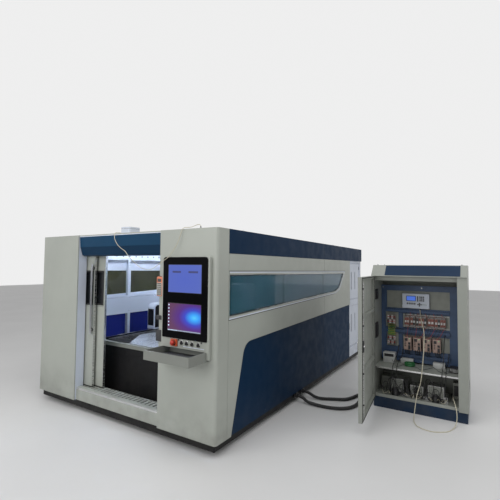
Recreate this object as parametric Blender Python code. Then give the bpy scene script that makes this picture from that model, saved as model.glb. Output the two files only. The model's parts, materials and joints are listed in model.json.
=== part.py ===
"""Enclosed fiber laser cutting machine with its electrical cabinet.

Metres, +Z up. The model is laid out from the enclosure's front right corner on
the floor: X to the right, Y to the rear. The empty "origin" then moves the whole
machine so that its box is centred on the world's axes and stands on the floor.
"""

import math

import bmesh
import bpy
from mathutils import Matrix, Vector

# Enclosure
WIDTH = 2.82
LENGTH = 4.65
HEIGHT = 2.05
GROUND_GAP = 0.12
SHEET = 0.004
PANEL = 0.020
LOWER_PANEL = 0.008
FIT = 0.0003
SEAM = 0.003
ROOF = 0.020
COLUMN_LEFT_W = 0.746
COLUMN_RIGHT_W = 0.714
COLUMN_SIDE = 0.175
CORNER_R = 0.028
JAMB = 0.117
BAND_H = 0.230
BAND_BOTTOM = HEIGHT - BAND_H
PANEL_END = LENGTH - 0.750
TUBE = 0.050

# Side window and the step between the light and the dark panel
WINDOW_DROPS = [(0.181, 0.820), (3.110, 0.735), (3.305, 0.687), (3.540, 0.443), (0.181, 0.428)]
WINDOW = [(y, HEIGHT - drop) for y, drop in WINDOW_DROPS]
WINDOW_CORNER_R = 0.05
RIM_W = 0.028
RIM_PROUD = 0.006
GLASS = 0.005
STEP_FOOT_Y = 0.241
STEP_CORNER = (0.462, HEIGHT - 1.1005)
STEP_END_Z = HEIGHT - 1.004
STEP_R = 0.14

# Front opening
HEADER_DROPS = [(0.018, 0.021), (0.026, 0.140), (0.055, 0.233), (0.085, 0.248)]
HEADER = [(y, HEIGHT - drop) for y, drop in HEADER_DROPS]
SILL_FRONT = 0.030
SILL_BACK = 0.225
SILL_TOP = 0.265
TRACK_DROP = 0.010
TRACK_Y = 0.085
SLOT_PITCH = 0.060
SLOT_W = 0.022
SLOT_DEPTH = 0.006
TRACK_DOWN = 0.220
TRACK_BOTTOM = HEIGHT - TRACK_DOWN
TRACK_H = 0.050

# Sliding door leaves
LEAF_W = 0.720
LEAF_T = 0.030
LEAF_BOTTOM = 0.270
LEAF_FRONT_Y = 0.130
LEAF_REAR_Y = 0.180
LEAF_FRONT_EDGE = COLUMN_LEFT_W + 0.144 - WIDTH
LEAF_REAR_EDGE = LEAF_FRONT_EDGE + 0.130
LEAF_WINDOW_Z = (TRACK_BOTTOM - 0.600, TRACK_BOTTOM - 0.210)
LEAF_MARGIN = 0.030
HANDLE_X = LEAF_FRONT_EDGE - 0.020
HANDLE_W = 0.030
HANDLE_T = 0.008
HANDLE_Z = (TRACK_BOTTOM - 0.950, TRACK_BOTTOM - 0.120)
HANDLE_REACH = 0.022
HANDLE_POST_R = 0.012
HANDLE_POST_INSET = 0.050

# Wall frames
FRAME_POSTS = [0.200, 1.310, 2.615, PANEL_END - TUBE, LENGTH - 0.070]
RAIL_BOTTOM = 0.060
WAIST_Z = (HEIGHT - 1.100, HEIGHT - 0.825)
REAR_RAIL_Z = (HEIGHT - 1.030, HEIGHT - 0.930)
REAR_SILL_Z = 0.280
TOP_RAIL_Z = HEIGHT - 0.270
DOOR_GAP = 0.004
SERVICE_DOOR_T = 0.020
SERVICE_DOOR_INSET = 0.010
VENT_INSET = 0.180
VENT_PITCH = 0.220
VENT_W = 0.040
VENT_DROP = 0.160
VENT_H = 0.320

# Bed, table and gantry
BED_SIDE = 0.460
BED_LEFT = BED_SIDE - WIDTH
BED_RIGHT = -BED_SIDE
BED_FRONT = 0.380
BED_REAR = LENGTH - 0.500
BED_BEAM_W = 0.220
BED_BEAM_TOP = 0.720
BED_CROSS = 0.050
BED_CROSS_TOP = 0.750
RAIL_W = 0.040
RAIL_H = 0.025
LEDGE_W = 0.040
LEDGE_Z = (0.600, 0.640)
SLAT_TOP = 0.745
SLAT_T = 0.006
SLAT_PITCH = 0.100
SLAT_SIDE = 0.020
SHEET_T = 0.003
SHEET_X = (BED_LEFT + 0.360, BED_RIGHT - 0.340)
SHEET_Y = (0.450, 1.900)
SHEET_CUT = (0.330, 0.450)
END_W = 0.140
END_Y = (1.330, 1.850)
END_TOP = 1.130
END_R = 0.080
BEAM_Y = (1.450, 1.750)
BEAM_Z = (0.850, 1.100)
CARRIAGE_X = (-1.005, -0.645)
CARRIAGE_Y = (1.100, 1.700)
CARRIAGE_Z = (0.860, 1.470)
CARRIAGE_R = 0.040
SLIDE_W = 0.200
SLIDE_T = 0.040
SLIDE_Z = (0.820, 1.300)
HEAD_W = 0.090
HEAD_D = 0.080
HEAD_Z = (0.900, 1.160)
NOZZLE_TIP_Z = 0.800
NOZZLE_R = 0.028
NOZZLE_TIP_R = 0.006
CHAIN_W = 0.035
CHAIN_T = 0.030
CHAIN_BEND_R = 0.075
CHAIN_X = (BED_LEFT + 0.560, CARRIAGE_X[0] - 0.015)

# Console on the right column
CONSOLE_X = (-0.640, -0.060)
CONSOLE_Z = (0.865, 1.790)
CONSOLE_T = 0.036
CONSOLE_R = 0.028
GLASS_X = (-0.622, -0.078)
GLASS_Z = (1.020, 1.780)
GLASS_T = 0.008
ESTOP = (-0.466, 0.980)
ESTOP_PLATE = (0.074, 0.060, 0.014)
ESTOP_CAP_R = 0.022
ESTOP_CAP_T = 0.022
ESTOP_STEM_R = 0.013
ESTOP_STEM_OUT = 0.012
ESTOP_HOLE = 0.020
KNOB_X = [-0.378, -0.317, -0.251, -0.178]
KNOB_Z = 0.988
KNOB_R = 0.016
KNOB_T = 0.022
GRIP_W = 0.009
TRAY_X = (-0.625, -0.085)
TRAY_Y = (-0.270, 0.060)
TRAY_Z = (0.845, 0.930)
TRAY_WALL = 0.012
TRAY_FLOOR = 0.020
TRAY_CLEAR = 0.0004
PENDANT_X = (-0.722, -0.645)
PENDANT_Z = (1.400, 1.590)
PENDANT_T = 0.035
CLIP_Z = [(1.172, 1.210), (0.962, 1.070)]
CLIP_W = 0.030
CLIP_T = 0.022

# Roof box and the thin lead that crosses the header
ROOF_BOX_X = (-1.640, -1.480)
ROOF_BOX_Y = (0.250, 0.420)
ROOF_BOX_H = 0.100
LEAD_R = 0.003
GLAND_R = 0.009
GLAND_L = 0.020
LEAD_END = (-0.300, 0.120)

# Electrical cabinet
CABINET_X = (0.825, 1.854)
CABINET_FRONT = 2.120
CABINET_BACK = CABINET_FRONT + 0.540
CABINET_Z = (0.127, 1.735)
CABINET_WALL = 0.020
CABINET_LIP = 0.025
CABINET_OPEN_Z = (0.160, 1.545)
DOOR_PLANE = CABINET_FRONT - 0.045
HEADER_BOTTOM = 1.600
HEADER_FRONT = CABINET_FRONT - 0.060
HEADER_BACK = CABINET_FRONT + 0.060
POST_X = 1.757
STRIP_X = (0.985, 1.790)
STRIP_T = 0.004
STRIP_INSET = 0.012
PLINTH_INSET = 0.012
PLINTH_FRONT = CABINET_FRONT
CABINET_DOOR_W = 0.928
CABINET_DOOR_T = 0.040
CABINET_DOOR_Z = (0.1272, 1.5995)
CABINET_DOOR_OPEN = 84.6
PIVOT_INSET = 0.013
PIN_R = 0.006
PIN_REACH = 0.018
DOOR_FRAME_W = 0.030
DOOR_SKIN = 0.006
DOOR_RIBS = [0.610, 1.185]
PLATE_Y = (CABINET_BACK - 0.130, CABINET_BACK - 0.090)
PLATE_Z = (0.500, 1.475)
BAY_DEPTH = 0.015
BAYS = [
    (0.913, 1.655, 1.177, 1.404),
    (0.898, 1.060, 0.926, 1.123),
    (1.111, 1.651, 0.933, 1.112),
    (0.909, 1.058, 0.679, 0.859),
    (1.109, 1.647, 0.653, 0.840),
]
DISPLAY_X = (1.113, 1.431)
DISPLAY_Z = (1.186, 1.373)
DISPLAY_T = 0.055
SHELF_TOP = 0.483
SHELF_T = 0.018

# Feet
FOOT_R = 0.045
FOOT_H = 0.050
BASE_INSET = 0.040

# Cords that join the machine and the cabinet
CONDUIT_R = 0.020
CONDUIT_Y = (1.700, 1.900)
CONDUIT_Z = 0.085
CONDUIT_PORT_Y = (2.300, 2.420)
CONDUIT_PORT_Z = 0.075
FLEX_R = 0.0045

BOX_X = (-WIDTH - RIM_PROUD, CABINET_X[1])
BOX_Y = (TRAY_Y[0], LENGTH)
CENTRE_X = (BOX_X[0] + BOX_X[1]) / 2
CENTRE_Y = (BOX_Y[0] + BOX_Y[1]) / 2

LEFT = -WIDTH
JAMB_LEFT = LEFT + COLUMN_LEFT_W
JAMB_RIGHT = -COLUMN_RIGHT_W
ROOF_BOTTOM = HEIGHT - ROOF
BASE_TOP = GROUND_GAP - FIT


def clear_scene():
    for item in list(bpy.data.objects):
        bpy.data.objects.remove(item, do_unlink=True)


def finish(name, colour, roughness, metallic=0.0):
    material = bpy.data.materials.new(name)
    material.use_nodes = True
    shader = material.node_tree.nodes["Principled BSDF"]
    shader.inputs["Base Color"].default_value = (*colour, 1.0)
    shader.inputs["Roughness"].default_value = roughness
    shader.inputs["Metallic"].default_value = metallic
    return material


def finishes():
    return {
        "light": finish("light_grey_paint", (0.55, 0.56, 0.53), 0.45),
        "navy": finish("navy_paint", (0.02, 0.06, 0.13), 0.40),
        "white": finish("white_paint", (0.72, 0.75, 0.82), 0.45),
        "black": finish("black_paint", (0.02, 0.02, 0.022), 0.50),
        "steel": finish("steel", (0.45, 0.45, 0.46), 0.35, 1.0),
        "glass": finish("tinted_glass", (0.10, 0.20, 0.25), 0.10),
        "screen": finish("black_glass", (0.01, 0.01, 0.012), 0.08),
        "red": finish("red_plastic", (0.75, 0.10, 0.05), 0.40),
        "orange": finish("orange_plastic", (0.80, 0.25, 0.10), 0.45),
        "plastic": finish("dark_plastic", (0.03, 0.03, 0.03), 0.45),
        "parts": finish("control_gear", (0.30, 0.22, 0.20), 0.50),
        "beige": finish("pale_lead", (0.60, 0.57, 0.45), 0.50),
    }


def add_object(name, mesh_data, material, origin):
    bmesh.ops.remove_doubles(mesh_data, verts=mesh_data.verts, dist=0.00001)
    bmesh.ops.recalc_face_normals(mesh_data, faces=mesh_data.faces)
    mesh = bpy.data.meshes.new(name)
    mesh_data.to_mesh(mesh)
    mesh_data.free()
    item = bpy.data.objects.new(name, mesh)
    bpy.context.scene.collection.objects.link(item)
    if material is not None:
        mesh.materials.append(material)
    item.parent = origin
    return item


def guide(name, mesh_data, origin):
    item = add_object(name, mesh_data, None, origin)
    item.hide_render = True
    item.display_type = "WIRE"
    return item


def boolean(item, other, operation):
    modifier = item.modifiers.new(other.name, "BOOLEAN")
    modifier.object = other
    modifier.operation = operation
    modifier.solver = "EXACT"


def cut(item, cutter):
    boolean(item, cutter, "DIFFERENCE")


def join(item, other):
    boolean(item, other, "UNION")


def soften(item, width, segments=1):
    modifier = item.modifiers.new("edges", "BEVEL")
    modifier.width = width
    modifier.segments = segments
    modifier.limit_method = "ANGLE"
    modifier.angle_limit = math.radians(50)


def box(x, y, z):
    """A bmesh box between three pairs of limits."""
    shape = bmesh.new()
    bmesh.ops.create_cube(shape, size=1.0)
    size = Vector((x[1] - x[0], y[1] - y[0], z[1] - z[0]))
    middle = Vector((x[0] + x[1], y[0] + y[1], z[0] + z[1])) / 2
    bmesh.ops.scale(shape, vec=size, verts=shape.verts)
    bmesh.ops.translate(shape, vec=middle, verts=shape.verts)
    return shape


def to_world(axis, u, v, depth):
    """A point of an outline: u and v in the plane, depth along the axis."""
    if axis == "X":
        return Vector((depth, u, v))
    if axis == "Y":
        return Vector((u, depth, v))
    return Vector((u, v, depth))


def prism(outline, axis, low, high):
    """Extrude a closed outline along an axis."""
    shape = bmesh.new()
    verts = [shape.verts.new(to_world(axis, u, v, low)) for u, v in outline]
    face = shape.faces.new(verts)
    grown = bmesh.ops.extrude_face_region(shape, geom=[face])
    moved = [g for g in grown["geom"] if isinstance(g, bmesh.types.BMVert)]
    bmesh.ops.translate(shape, vec=to_world(axis, 0, 0, high - low), verts=moved)
    return shape


def rounded(outline, radii, steps=5):
    """The outline with an arc of the given radius at each listed corner."""
    points = []
    count = len(outline)
    for index, corner in enumerate(outline):
        radius = radii.get(index, 0.0)
        here = Vector(corner)
        if radius <= 0.0:
            points.append(tuple(here))
            continue
        before = (Vector(outline[index - 1]) - here).normalized()
        after = (Vector(outline[(index + 1) % count]) - here).normalized()
        half = before.angle(after) / 2
        reach = radius / math.tan(half)
        centre = here + (before + after).normalized() * (radius / math.sin(half))
        start = here + before * reach - centre
        end = here + after * reach - centre
        turn = start.angle_signed(end)
        for step in range(steps + 1):
            arm = start.copy()
            arm.rotate(Matrix.Rotation(-turn * step / steps, 2))
            points.append(tuple(centre + arm))
    return points


def grown_outline(outline, distance):
    """The outline moved outward by a distance; its points run anticlockwise."""
    points = []
    count = len(outline)
    for index in range(count):
        here = Vector(outline[index])
        before = (here - Vector(outline[index - 1])).normalized()
        after = (Vector(outline[(index + 1) % count]) - here).normalized()
        normal = (Vector((before.y, -before.x)) + Vector((after.y, -after.x))).normalized()
        stretch = 1.0 / max(normal.dot(Vector((before.y, -before.x))), 0.3)
        points.append(tuple(here + normal * distance * stretch))
    return points


def folded(points, thickness):
    """The closed outline of a folded sheet whose outer side runs through the points."""
    inner = []
    for index, point in enumerate(points):
        here = Vector(point)
        before = Vector(points[index]) - Vector(points[index - 1]) if index else None
        after = Vector(points[index + 1]) - here if index + 1 < len(points) else None
        first = (before or after).normalized()
        second = (after or before).normalized()
        normal = (Vector((-first.y, first.x)) + Vector((-second.y, second.x))).normalized()
        stretch = 1.0 / max(normal.dot(Vector((-first.y, first.x))), 0.3)
        inner.append(tuple(here + normal * thickness * stretch))
    return list(points) + inner[::-1]


def cells(axis, low, high, us, vs, filled):
    """A plate made of the filled cells of a grid, closed all round."""
    shape = bmesh.new()
    layers = [low, high]
    grid = {}

    def vert(i, j, k):
        if (i, j, k) not in grid:
            grid[i, j, k] = shape.verts.new(to_world(axis, us[i], vs[j], layers[k]))
        return grid[i, j, k]

    def solid(i, j):
        return 0 <= i < len(us) - 1 and 0 <= j < len(vs) - 1 and filled(i, j)

    for i in range(len(us) - 1):
        for j in range(len(vs) - 1):
            if not solid(i, j):
                continue
            for k in (0, 1):
                shape.faces.new([vert(i, j, k), vert(i + 1, j, k), vert(i + 1, j + 1, k), vert(i, j + 1, k)])
            sides = [
                ((i - 1, j), (i, j), (i, j + 1)),
                ((i + 1, j), (i + 1, j), (i + 1, j + 1)),
                ((i, j - 1), (i, j), (i + 1, j)),
                ((i, j + 1), (i, j + 1), (i + 1, j + 1)),
            ]
            for (ni, nj), start, end in sides:
                if not solid(ni, nj):
                    shape.faces.new([vert(*start, 0), vert(*end, 0), vert(*end, 1), vert(*start, 1)])
    return shape


def tapered(centre, axis, low, high, low_radius, high_radius, segments=20):
    """A round bar or cone along an axis; centre is its place in the other two."""
    shape = bmesh.new()
    bmesh.ops.create_cone(
        shape, cap_ends=True, segments=segments, radius1=low_radius, radius2=high_radius, depth=high - low
    )
    bmesh.ops.translate(shape, vec=(0, 0, (low + high) / 2), verts=shape.verts)
    if axis == "X":
        bmesh.ops.rotate(shape, matrix=Matrix.Rotation(math.radians(90), 3, "Y"), verts=shape.verts)
    if axis == "Y":
        bmesh.ops.rotate(shape, matrix=Matrix.Rotation(math.radians(-90), 3, "X"), verts=shape.verts)
    bmesh.ops.translate(shape, vec=to_world(axis, centre[0], centre[1], 0), verts=shape.verts)
    return shape


def bar(centre, axis, low, high, radius, segments=20):
    return tapered(centre, axis, low, high, radius, radius, segments)


def smooth_route(points, spacing):
    """Points along a smooth curve; the first and the last leg stay straight."""
    padded = [Vector(p) for p in points]
    route = padded[1:-1]
    dense = []
    for index in range(1, len(padded) - 2):
        p0, p1, p2, p3 = padded[index - 1:index + 3]
        for step in range(24):
            t = step / 24
            dense.append(
                0.5 * (2 * p1 + (p2 - p0) * t + (2 * p0 - 5 * p1 + 4 * p2 - p3) * t * t
                       + (3 * p1 - 3 * p2 + p3 - p0) * t ** 3)
            )
    dense.append(route[-1])
    lengths = [0.0]
    for index in range(1, len(dense)):
        lengths.append(lengths[-1] + (dense[index] - dense[index - 1]).length)
    count = max(8, min(78, round(lengths[-1] / spacing)))
    picked = []
    place = 0
    for step in range(count + 1):
        wanted = lengths[-1] * step / count
        while place < len(lengths) - 2 and lengths[place + 1] < wanted:
            place += 1
        span = max(lengths[place + 1] - lengths[place], 1e-9)
        picked.append(dense[place].lerp(dense[place + 1], min(1.0, (wanted - lengths[place]) / span)))
    return [padded[0]] + picked + [padded[-1]]


def add_cord(name, points, radius, material, origin, sides=2):
    data = bpy.data.curves.new(name, "CURVE")
    data.dimensions = "3D"
    data.bevel_depth = radius
    data.bevel_resolution = sides
    data.use_fill_caps = True
    spline = data.splines.new("POLY")
    path = smooth_route(points, radius * 6)
    spline.points.add(len(path) - 1)
    for point, place in zip(spline.points, path):
        point.co = (*place, 1.0)
    data.materials.append(material)
    item = bpy.data.objects.new(name, data)
    bpy.context.scene.collection.objects.link(item)
    item.parent = origin
    return item


def side_x(side, value):
    """A distance inward from the outer side plane, as an X coordinate."""
    return -value if side == "right" else LEFT + value


def span_x(side, near, far):
    return sorted((side_x(side, near), side_x(side, far)))


def build_base(paint, origin):
    slab = box(
        (LEFT + BASE_INSET, -BASE_INSET), (BASE_INSET, LENGTH - BASE_INSET), (FOOT_H - 0.005, BASE_TOP)
    )
    base = add_object("base_frame", slab, paint["black"], origin)
    for index, y in enumerate((0.25, 1.60, 3.05, 4.40)):
        for side in ("left", "right"):
            x = side_x(side, 0.16)
            foot = guide(f"foot_{side}_{index}", bar((x, y), "Z", 0.0, FOOT_H, FOOT_R, 12), origin)
            join(base, foot)
    for y in CONDUIT_Y:
        stub = bar((y, CONDUIT_Z), "X", -BASE_INSET - 0.02, -BASE_INSET + GLAND_L, CONDUIT_R + 0.006, 12)
        join(base, guide(f"conduit_gland_{y:.2f}", stub, origin))


def build_columns(paint, origin):
    right = [(JAMB_RIGHT, JAMB), (JAMB_RIGHT, 0), (0, 0), (0, COLUMN_SIDE)]
    right = rounded(right, {2: CORNER_R})
    right_column = add_object(
        "front_right_column", prism(folded(right, SHEET), "Z", GROUND_GAP, ROOF_BOTTOM - FIT),
        paint["light"], origin,
    )
    mouth = box(
        (TRAY_X[0] - TRAY_CLEAR, TRAY_X[1] + TRAY_CLEAR),
        (-SHEET, SHEET * 2),
        (TRAY_Z[0] - TRAY_CLEAR, TRAY_Z[1] + TRAY_CLEAR),
    )
    cut(right_column, guide("tray_mouth", mouth, origin))
    left = rounded([(LEFT, COLUMN_SIDE), (LEFT, 0), (JAMB_LEFT, 0), (JAMB_LEFT, JAMB)], {1: CORNER_R})
    add_object(
        "front_left_column", prism(folded(left, SHEET), "Z", GROUND_GAP, ROOF_BOTTOM - FIT),
        paint["light"], origin,
    )


def build_header(paint, origin):
    outline = folded([(y, z) for y, z in HEADER], SHEET)
    add_object(
        "header_fascia", prism(outline, "X", JAMB_LEFT + FIT, JAMB_RIGHT - FIT), paint["navy"], origin
    )
    wall = PANEL + TUBE + 2 * FIT
    track = box(
        (LEFT + wall, -wall),
        (JAMB + FIT, SILL_BACK),
        (TRACK_BOTTOM, TRACK_BOTTOM + TRACK_H),
    )
    add_object("door_track", track, paint["steel"], origin)


def build_sill(paint, origin):
    section = [
        (SILL_FRONT, GROUND_GAP), (SILL_BACK, GROUND_GAP), (SILL_BACK, SILL_TOP - TRACK_DROP),
        (TRACK_Y, SILL_TOP - TRACK_DROP), (TRACK_Y, SILL_TOP), (SILL_FRONT, SILL_TOP),
    ]
    low, high = JAMB_LEFT + FIT, JAMB_RIGHT - FIT
    sill = add_object("sill_beam", prism(section, "X", low, high), paint["light"], origin)
    count = int((high - low) / SLOT_PITCH)
    start = (low + high - (count - 1) * SLOT_PITCH) / 2
    for index in range(count):
        middle = start + index * SLOT_PITCH
        slot = box(
            (middle - SLOT_W / 2, middle + SLOT_W / 2),
            (TRACK_Y + 0.010, SILL_BACK - 0.020),
            (SILL_TOP - TRACK_DROP - SLOT_DEPTH, SILL_TOP),
        )
        cut(sill, guide(f"track_slot_{index}", slot, origin))


def step_outline(offset):
    """The slanting foot, rounded corner and rising top edge of the dark lower panel."""
    foot = (STEP_FOOT_Y + offset, GROUND_GAP)
    corner = (STEP_CORNER[0] + offset, STEP_CORNER[1] - offset)
    end = (PANEL_END, STEP_END_Z - offset)
    return foot, corner, end


def build_side(side, paint, origin):
    foot, corner, end = step_outline(0.0)
    front = COLUMN_SIDE + SEAM
    top = BAND_BOTTOM - SEAM
    upper = [(front, GROUND_GAP), foot, corner, end, (PANEL_END, top), (front, top)]
    upper = rounded(upper, {2: STEP_R})
    panel = add_object(
        f"{side}_upper_panel", prism(upper, "X", *span_x(side, 0, PANEL)), paint["light"], origin
    )
    opening = rounded(WINDOW, {1: WINDOW_CORNER_R * 3, 2: WINDOW_CORNER_R})
    edge = [(max(y, front), z) for y, z in grown_outline(opening, RIM_W)]
    rim = prism(edge, "X", *span_x(side, -RIM_PROUD, PANEL / 2))
    join(panel, guide(f"{side}_window_rim", rim, origin))
    hole = prism(opening, "X", *span_x(side, -2 * RIM_PROUD, 2 * PANEL))
    cut(panel, guide(f"{side}_window_hole", hole, origin))
    pane = prism(grown_outline(opening, -FIT), "X", *span_x(side, PANEL / 2, PANEL / 2 + GLASS))
    add_object(f"{side}_window", pane, paint["glass"], origin)

    foot, corner, end = step_outline(SEAM)
    lower = rounded([foot, (PANEL_END, GROUND_GAP), end, corner], {3: STEP_R - SEAM})
    add_object(
        f"{side}_lower_panel", prism(lower, "X", *span_x(side, PANEL - LOWER_PANEL, PANEL)),
        paint["navy"], origin,
    )
    band = box(span_x(side, 0, PANEL), (front, LENGTH), (BAND_BOTTOM, HEIGHT))
    add_object(f"{side}_top_band", band, paint["navy"], origin)


def build_frame(side, paint, origin):
    ys = []
    for post in FRAME_POSTS:
        ys += [post, post + TUBE]
    ys[-1] = LENGTH - PANEL - FIT
    zs = [
        GROUND_GAP, GROUND_GAP + RAIL_BOTTOM, REAR_SILL_Z, WAIST_Z[0], REAR_RAIL_Z[0], REAR_RAIL_Z[1],
        WAIST_Z[1], TOP_RAIL_Z, ROOF_BOTTOM - FIT,
    ]
    rear_bay = len(ys) - 3

    def filled(i, j):
        if i % 2 == 0 or j in (0, 7):
            return True
        if i == rear_bay:
            return side == "left" or j in (1, 4)
        return j in (3, 4, 5)

    near = PANEL + FIT
    frame = cells("X", *span_x(side, near, near + TUBE), ys, zs, filled)
    add_object(f"{side}_wall_frame", frame, paint["white"], origin)
    if side == "left":
        return
    door_y = (ys[rear_bay] + DOOR_GAP, ys[rear_bay + 1] - FIT)
    doors = {
        "service_door_lower": (REAR_SILL_Z + DOOR_GAP, REAR_RAIL_Z[0] - DOOR_GAP),
        "service_door_upper": (REAR_RAIL_Z[1] + DOOR_GAP, TOP_RAIL_Z - DOOR_GAP),
    }
    for name, (bottom, top) in doors.items():
        outer = near + SERVICE_DOOR_INSET
        leaf = box(span_x(side, outer, outer + SERVICE_DOOR_T), door_y, (bottom, top))
        door = add_object(name, leaf, paint["white"], origin)
        for index in range(2):
            middle = door_y[0] + VENT_INSET + index * VENT_PITCH
            slot = box(
                span_x(side, near, outer + SERVICE_DOOR_T / 2),
                (middle - VENT_W / 2, middle + VENT_W / 2),
                (top - VENT_DROP - VENT_H, top - VENT_DROP),
            )
            cut(door, guide(f"{name}_slot_{index}", slot, origin))


def build_roof(paint, origin):
    inner_left, inner_right = LEFT + PANEL + FIT, -PANEL - FIT
    outline = [
        (LEFT, 0.0), (JAMB_LEFT, 0.0), (JAMB_LEFT, HEADER[0][0]), (JAMB_RIGHT, HEADER[0][0]),
        (JAMB_RIGHT, 0.0), (0.0, 0.0), (0.0, COLUMN_SIDE), (inner_right, COLUMN_SIDE),
        (inner_right, LENGTH - PANEL - FIT), (inner_left, LENGTH - PANEL - FIT),
        (inner_left, COLUMN_SIDE), (LEFT, COLUMN_SIDE),
    ]
    outline = rounded(outline, {0: CORNER_R, 5: CORNER_R})
    roof = add_object("roof_panel", prism(outline, "Z", ROOF_BOTTOM, HEIGHT), paint["light"], origin)
    gland = bar(LEAD_END, "Z", HEIGHT - 0.005, HEIGHT + GLAND_L, GLAND_R, 12)
    join(roof, guide("column_gland", gland, origin))
    body = rounded(
        [(ROOF_BOX_X[0], ROOF_BOX_Y[0]), (ROOF_BOX_X[1], ROOF_BOX_Y[0]),
         (ROOF_BOX_X[1], ROOF_BOX_Y[1]), (ROOF_BOX_X[0], ROOF_BOX_Y[1])],
        {0: 0.03, 1: 0.03, 2: 0.03, 3: 0.03},
    )
    cover = add_object(
        "roof_box", prism(body, "Z", HEIGHT + FIT, HEIGHT + ROOF_BOX_H), paint["white"], origin
    )
    exit_point = (ROOF_BOX_Y[0] + 0.10, HEIGHT + 0.030)
    outlet = bar(exit_point, "X", ROOF_BOX_X[1] - 0.01, ROOF_BOX_X[1] + GLAND_L, GLAND_R, 12)
    join(cover, guide("roof_box_gland", outlet, origin))
    rear = box(
        (LEFT + PANEL + FIT, -PANEL - FIT), (LENGTH - PANEL, LENGTH), (GROUND_GAP, HEIGHT)
    )
    add_object("rear_panel", rear, paint["light"], origin)


def build_bed(paint, origin):
    xs = [BED_LEFT, BED_LEFT + BED_BEAM_W, BED_RIGHT - BED_BEAM_W, BED_RIGHT]
    ys = [BED_FRONT, BED_FRONT + BED_CROSS, BED_REAR - BED_CROSS, BED_REAR]
    ring = cells("Z", GROUND_GAP, BED_BEAM_TOP, xs, ys, lambda i, j: (i, j) != (1, 1))
    bed = add_object("bed_frame", ring, paint["black"], origin)
    for name, y in (("front", ys[0:2]), ("rear", ys[2:4])):
        lip = box((BED_LEFT, BED_RIGHT), y, (BED_BEAM_TOP - 0.1, BED_CROSS_TOP))
        join(bed, guide(f"bed_{name}_lip", lip, origin))
    for side, middle in (("left", (xs[0] + xs[1]) / 2), ("right", (xs[2] + xs[3]) / 2)):
        rail = box(
            (middle - RAIL_W / 2, middle + RAIL_W / 2), (ys[1] - 0.01, ys[2] + 0.01),
            (BED_BEAM_TOP - 0.02, BED_BEAM_TOP + RAIL_H),
        )
        join(bed, guide(f"bed_{side}_rail", rail, origin))
    ledges = {
        "left": (xs[1] - 0.01, xs[1] + LEDGE_W), "right": (xs[2] - LEDGE_W, xs[2] + 0.01),
    }
    for side, x in ledges.items():
        ledge = box(x, (ys[1] - 0.01, ys[2] + 0.01), LEDGE_Z)
        join(bed, guide(f"bed_{side}_ledge", ledge, origin))

    count = int((ys[2] - ys[1] - 0.06) / SLAT_PITCH)
    start = (ys[1] + ys[2] - (count - 1) * SLAT_PITCH) / 2
    slat_ys = []
    for index in range(count):
        middle = start + index * SLAT_PITCH
        slat_ys += [middle - SLAT_T / 2, middle + SLAT_T / 2]
    slat_xs = [xs[1] + FIT, xs[1] + FIT + SLAT_SIDE, xs[2] - FIT - SLAT_SIDE, xs[2] - FIT]
    grid = cells(
        "Z", LEDGE_Z[1] + FIT, SLAT_TOP, slat_xs, slat_ys, lambda i, j: i in (0, 2) or j % 2 == 0
    )
    add_object("slat_grid", grid, paint["steel"], origin)
    outline = [
        (SHEET_X[0] + SHEET_CUT[0], SHEET_Y[0]), (SHEET_X[1], SHEET_Y[0]), (SHEET_X[1], SHEET_Y[1]),
        (SHEET_X[0], SHEET_Y[1]), (SHEET_X[0], SHEET_Y[0] + SHEET_CUT[1]),
    ]
    blank = prism(outline, "Z", SLAT_TOP + FIT, SLAT_TOP + FIT + SHEET_T)
    add_object("work_sheet", blank, paint["white"], origin)
    return BED_BEAM_TOP + RAIL_H


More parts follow.
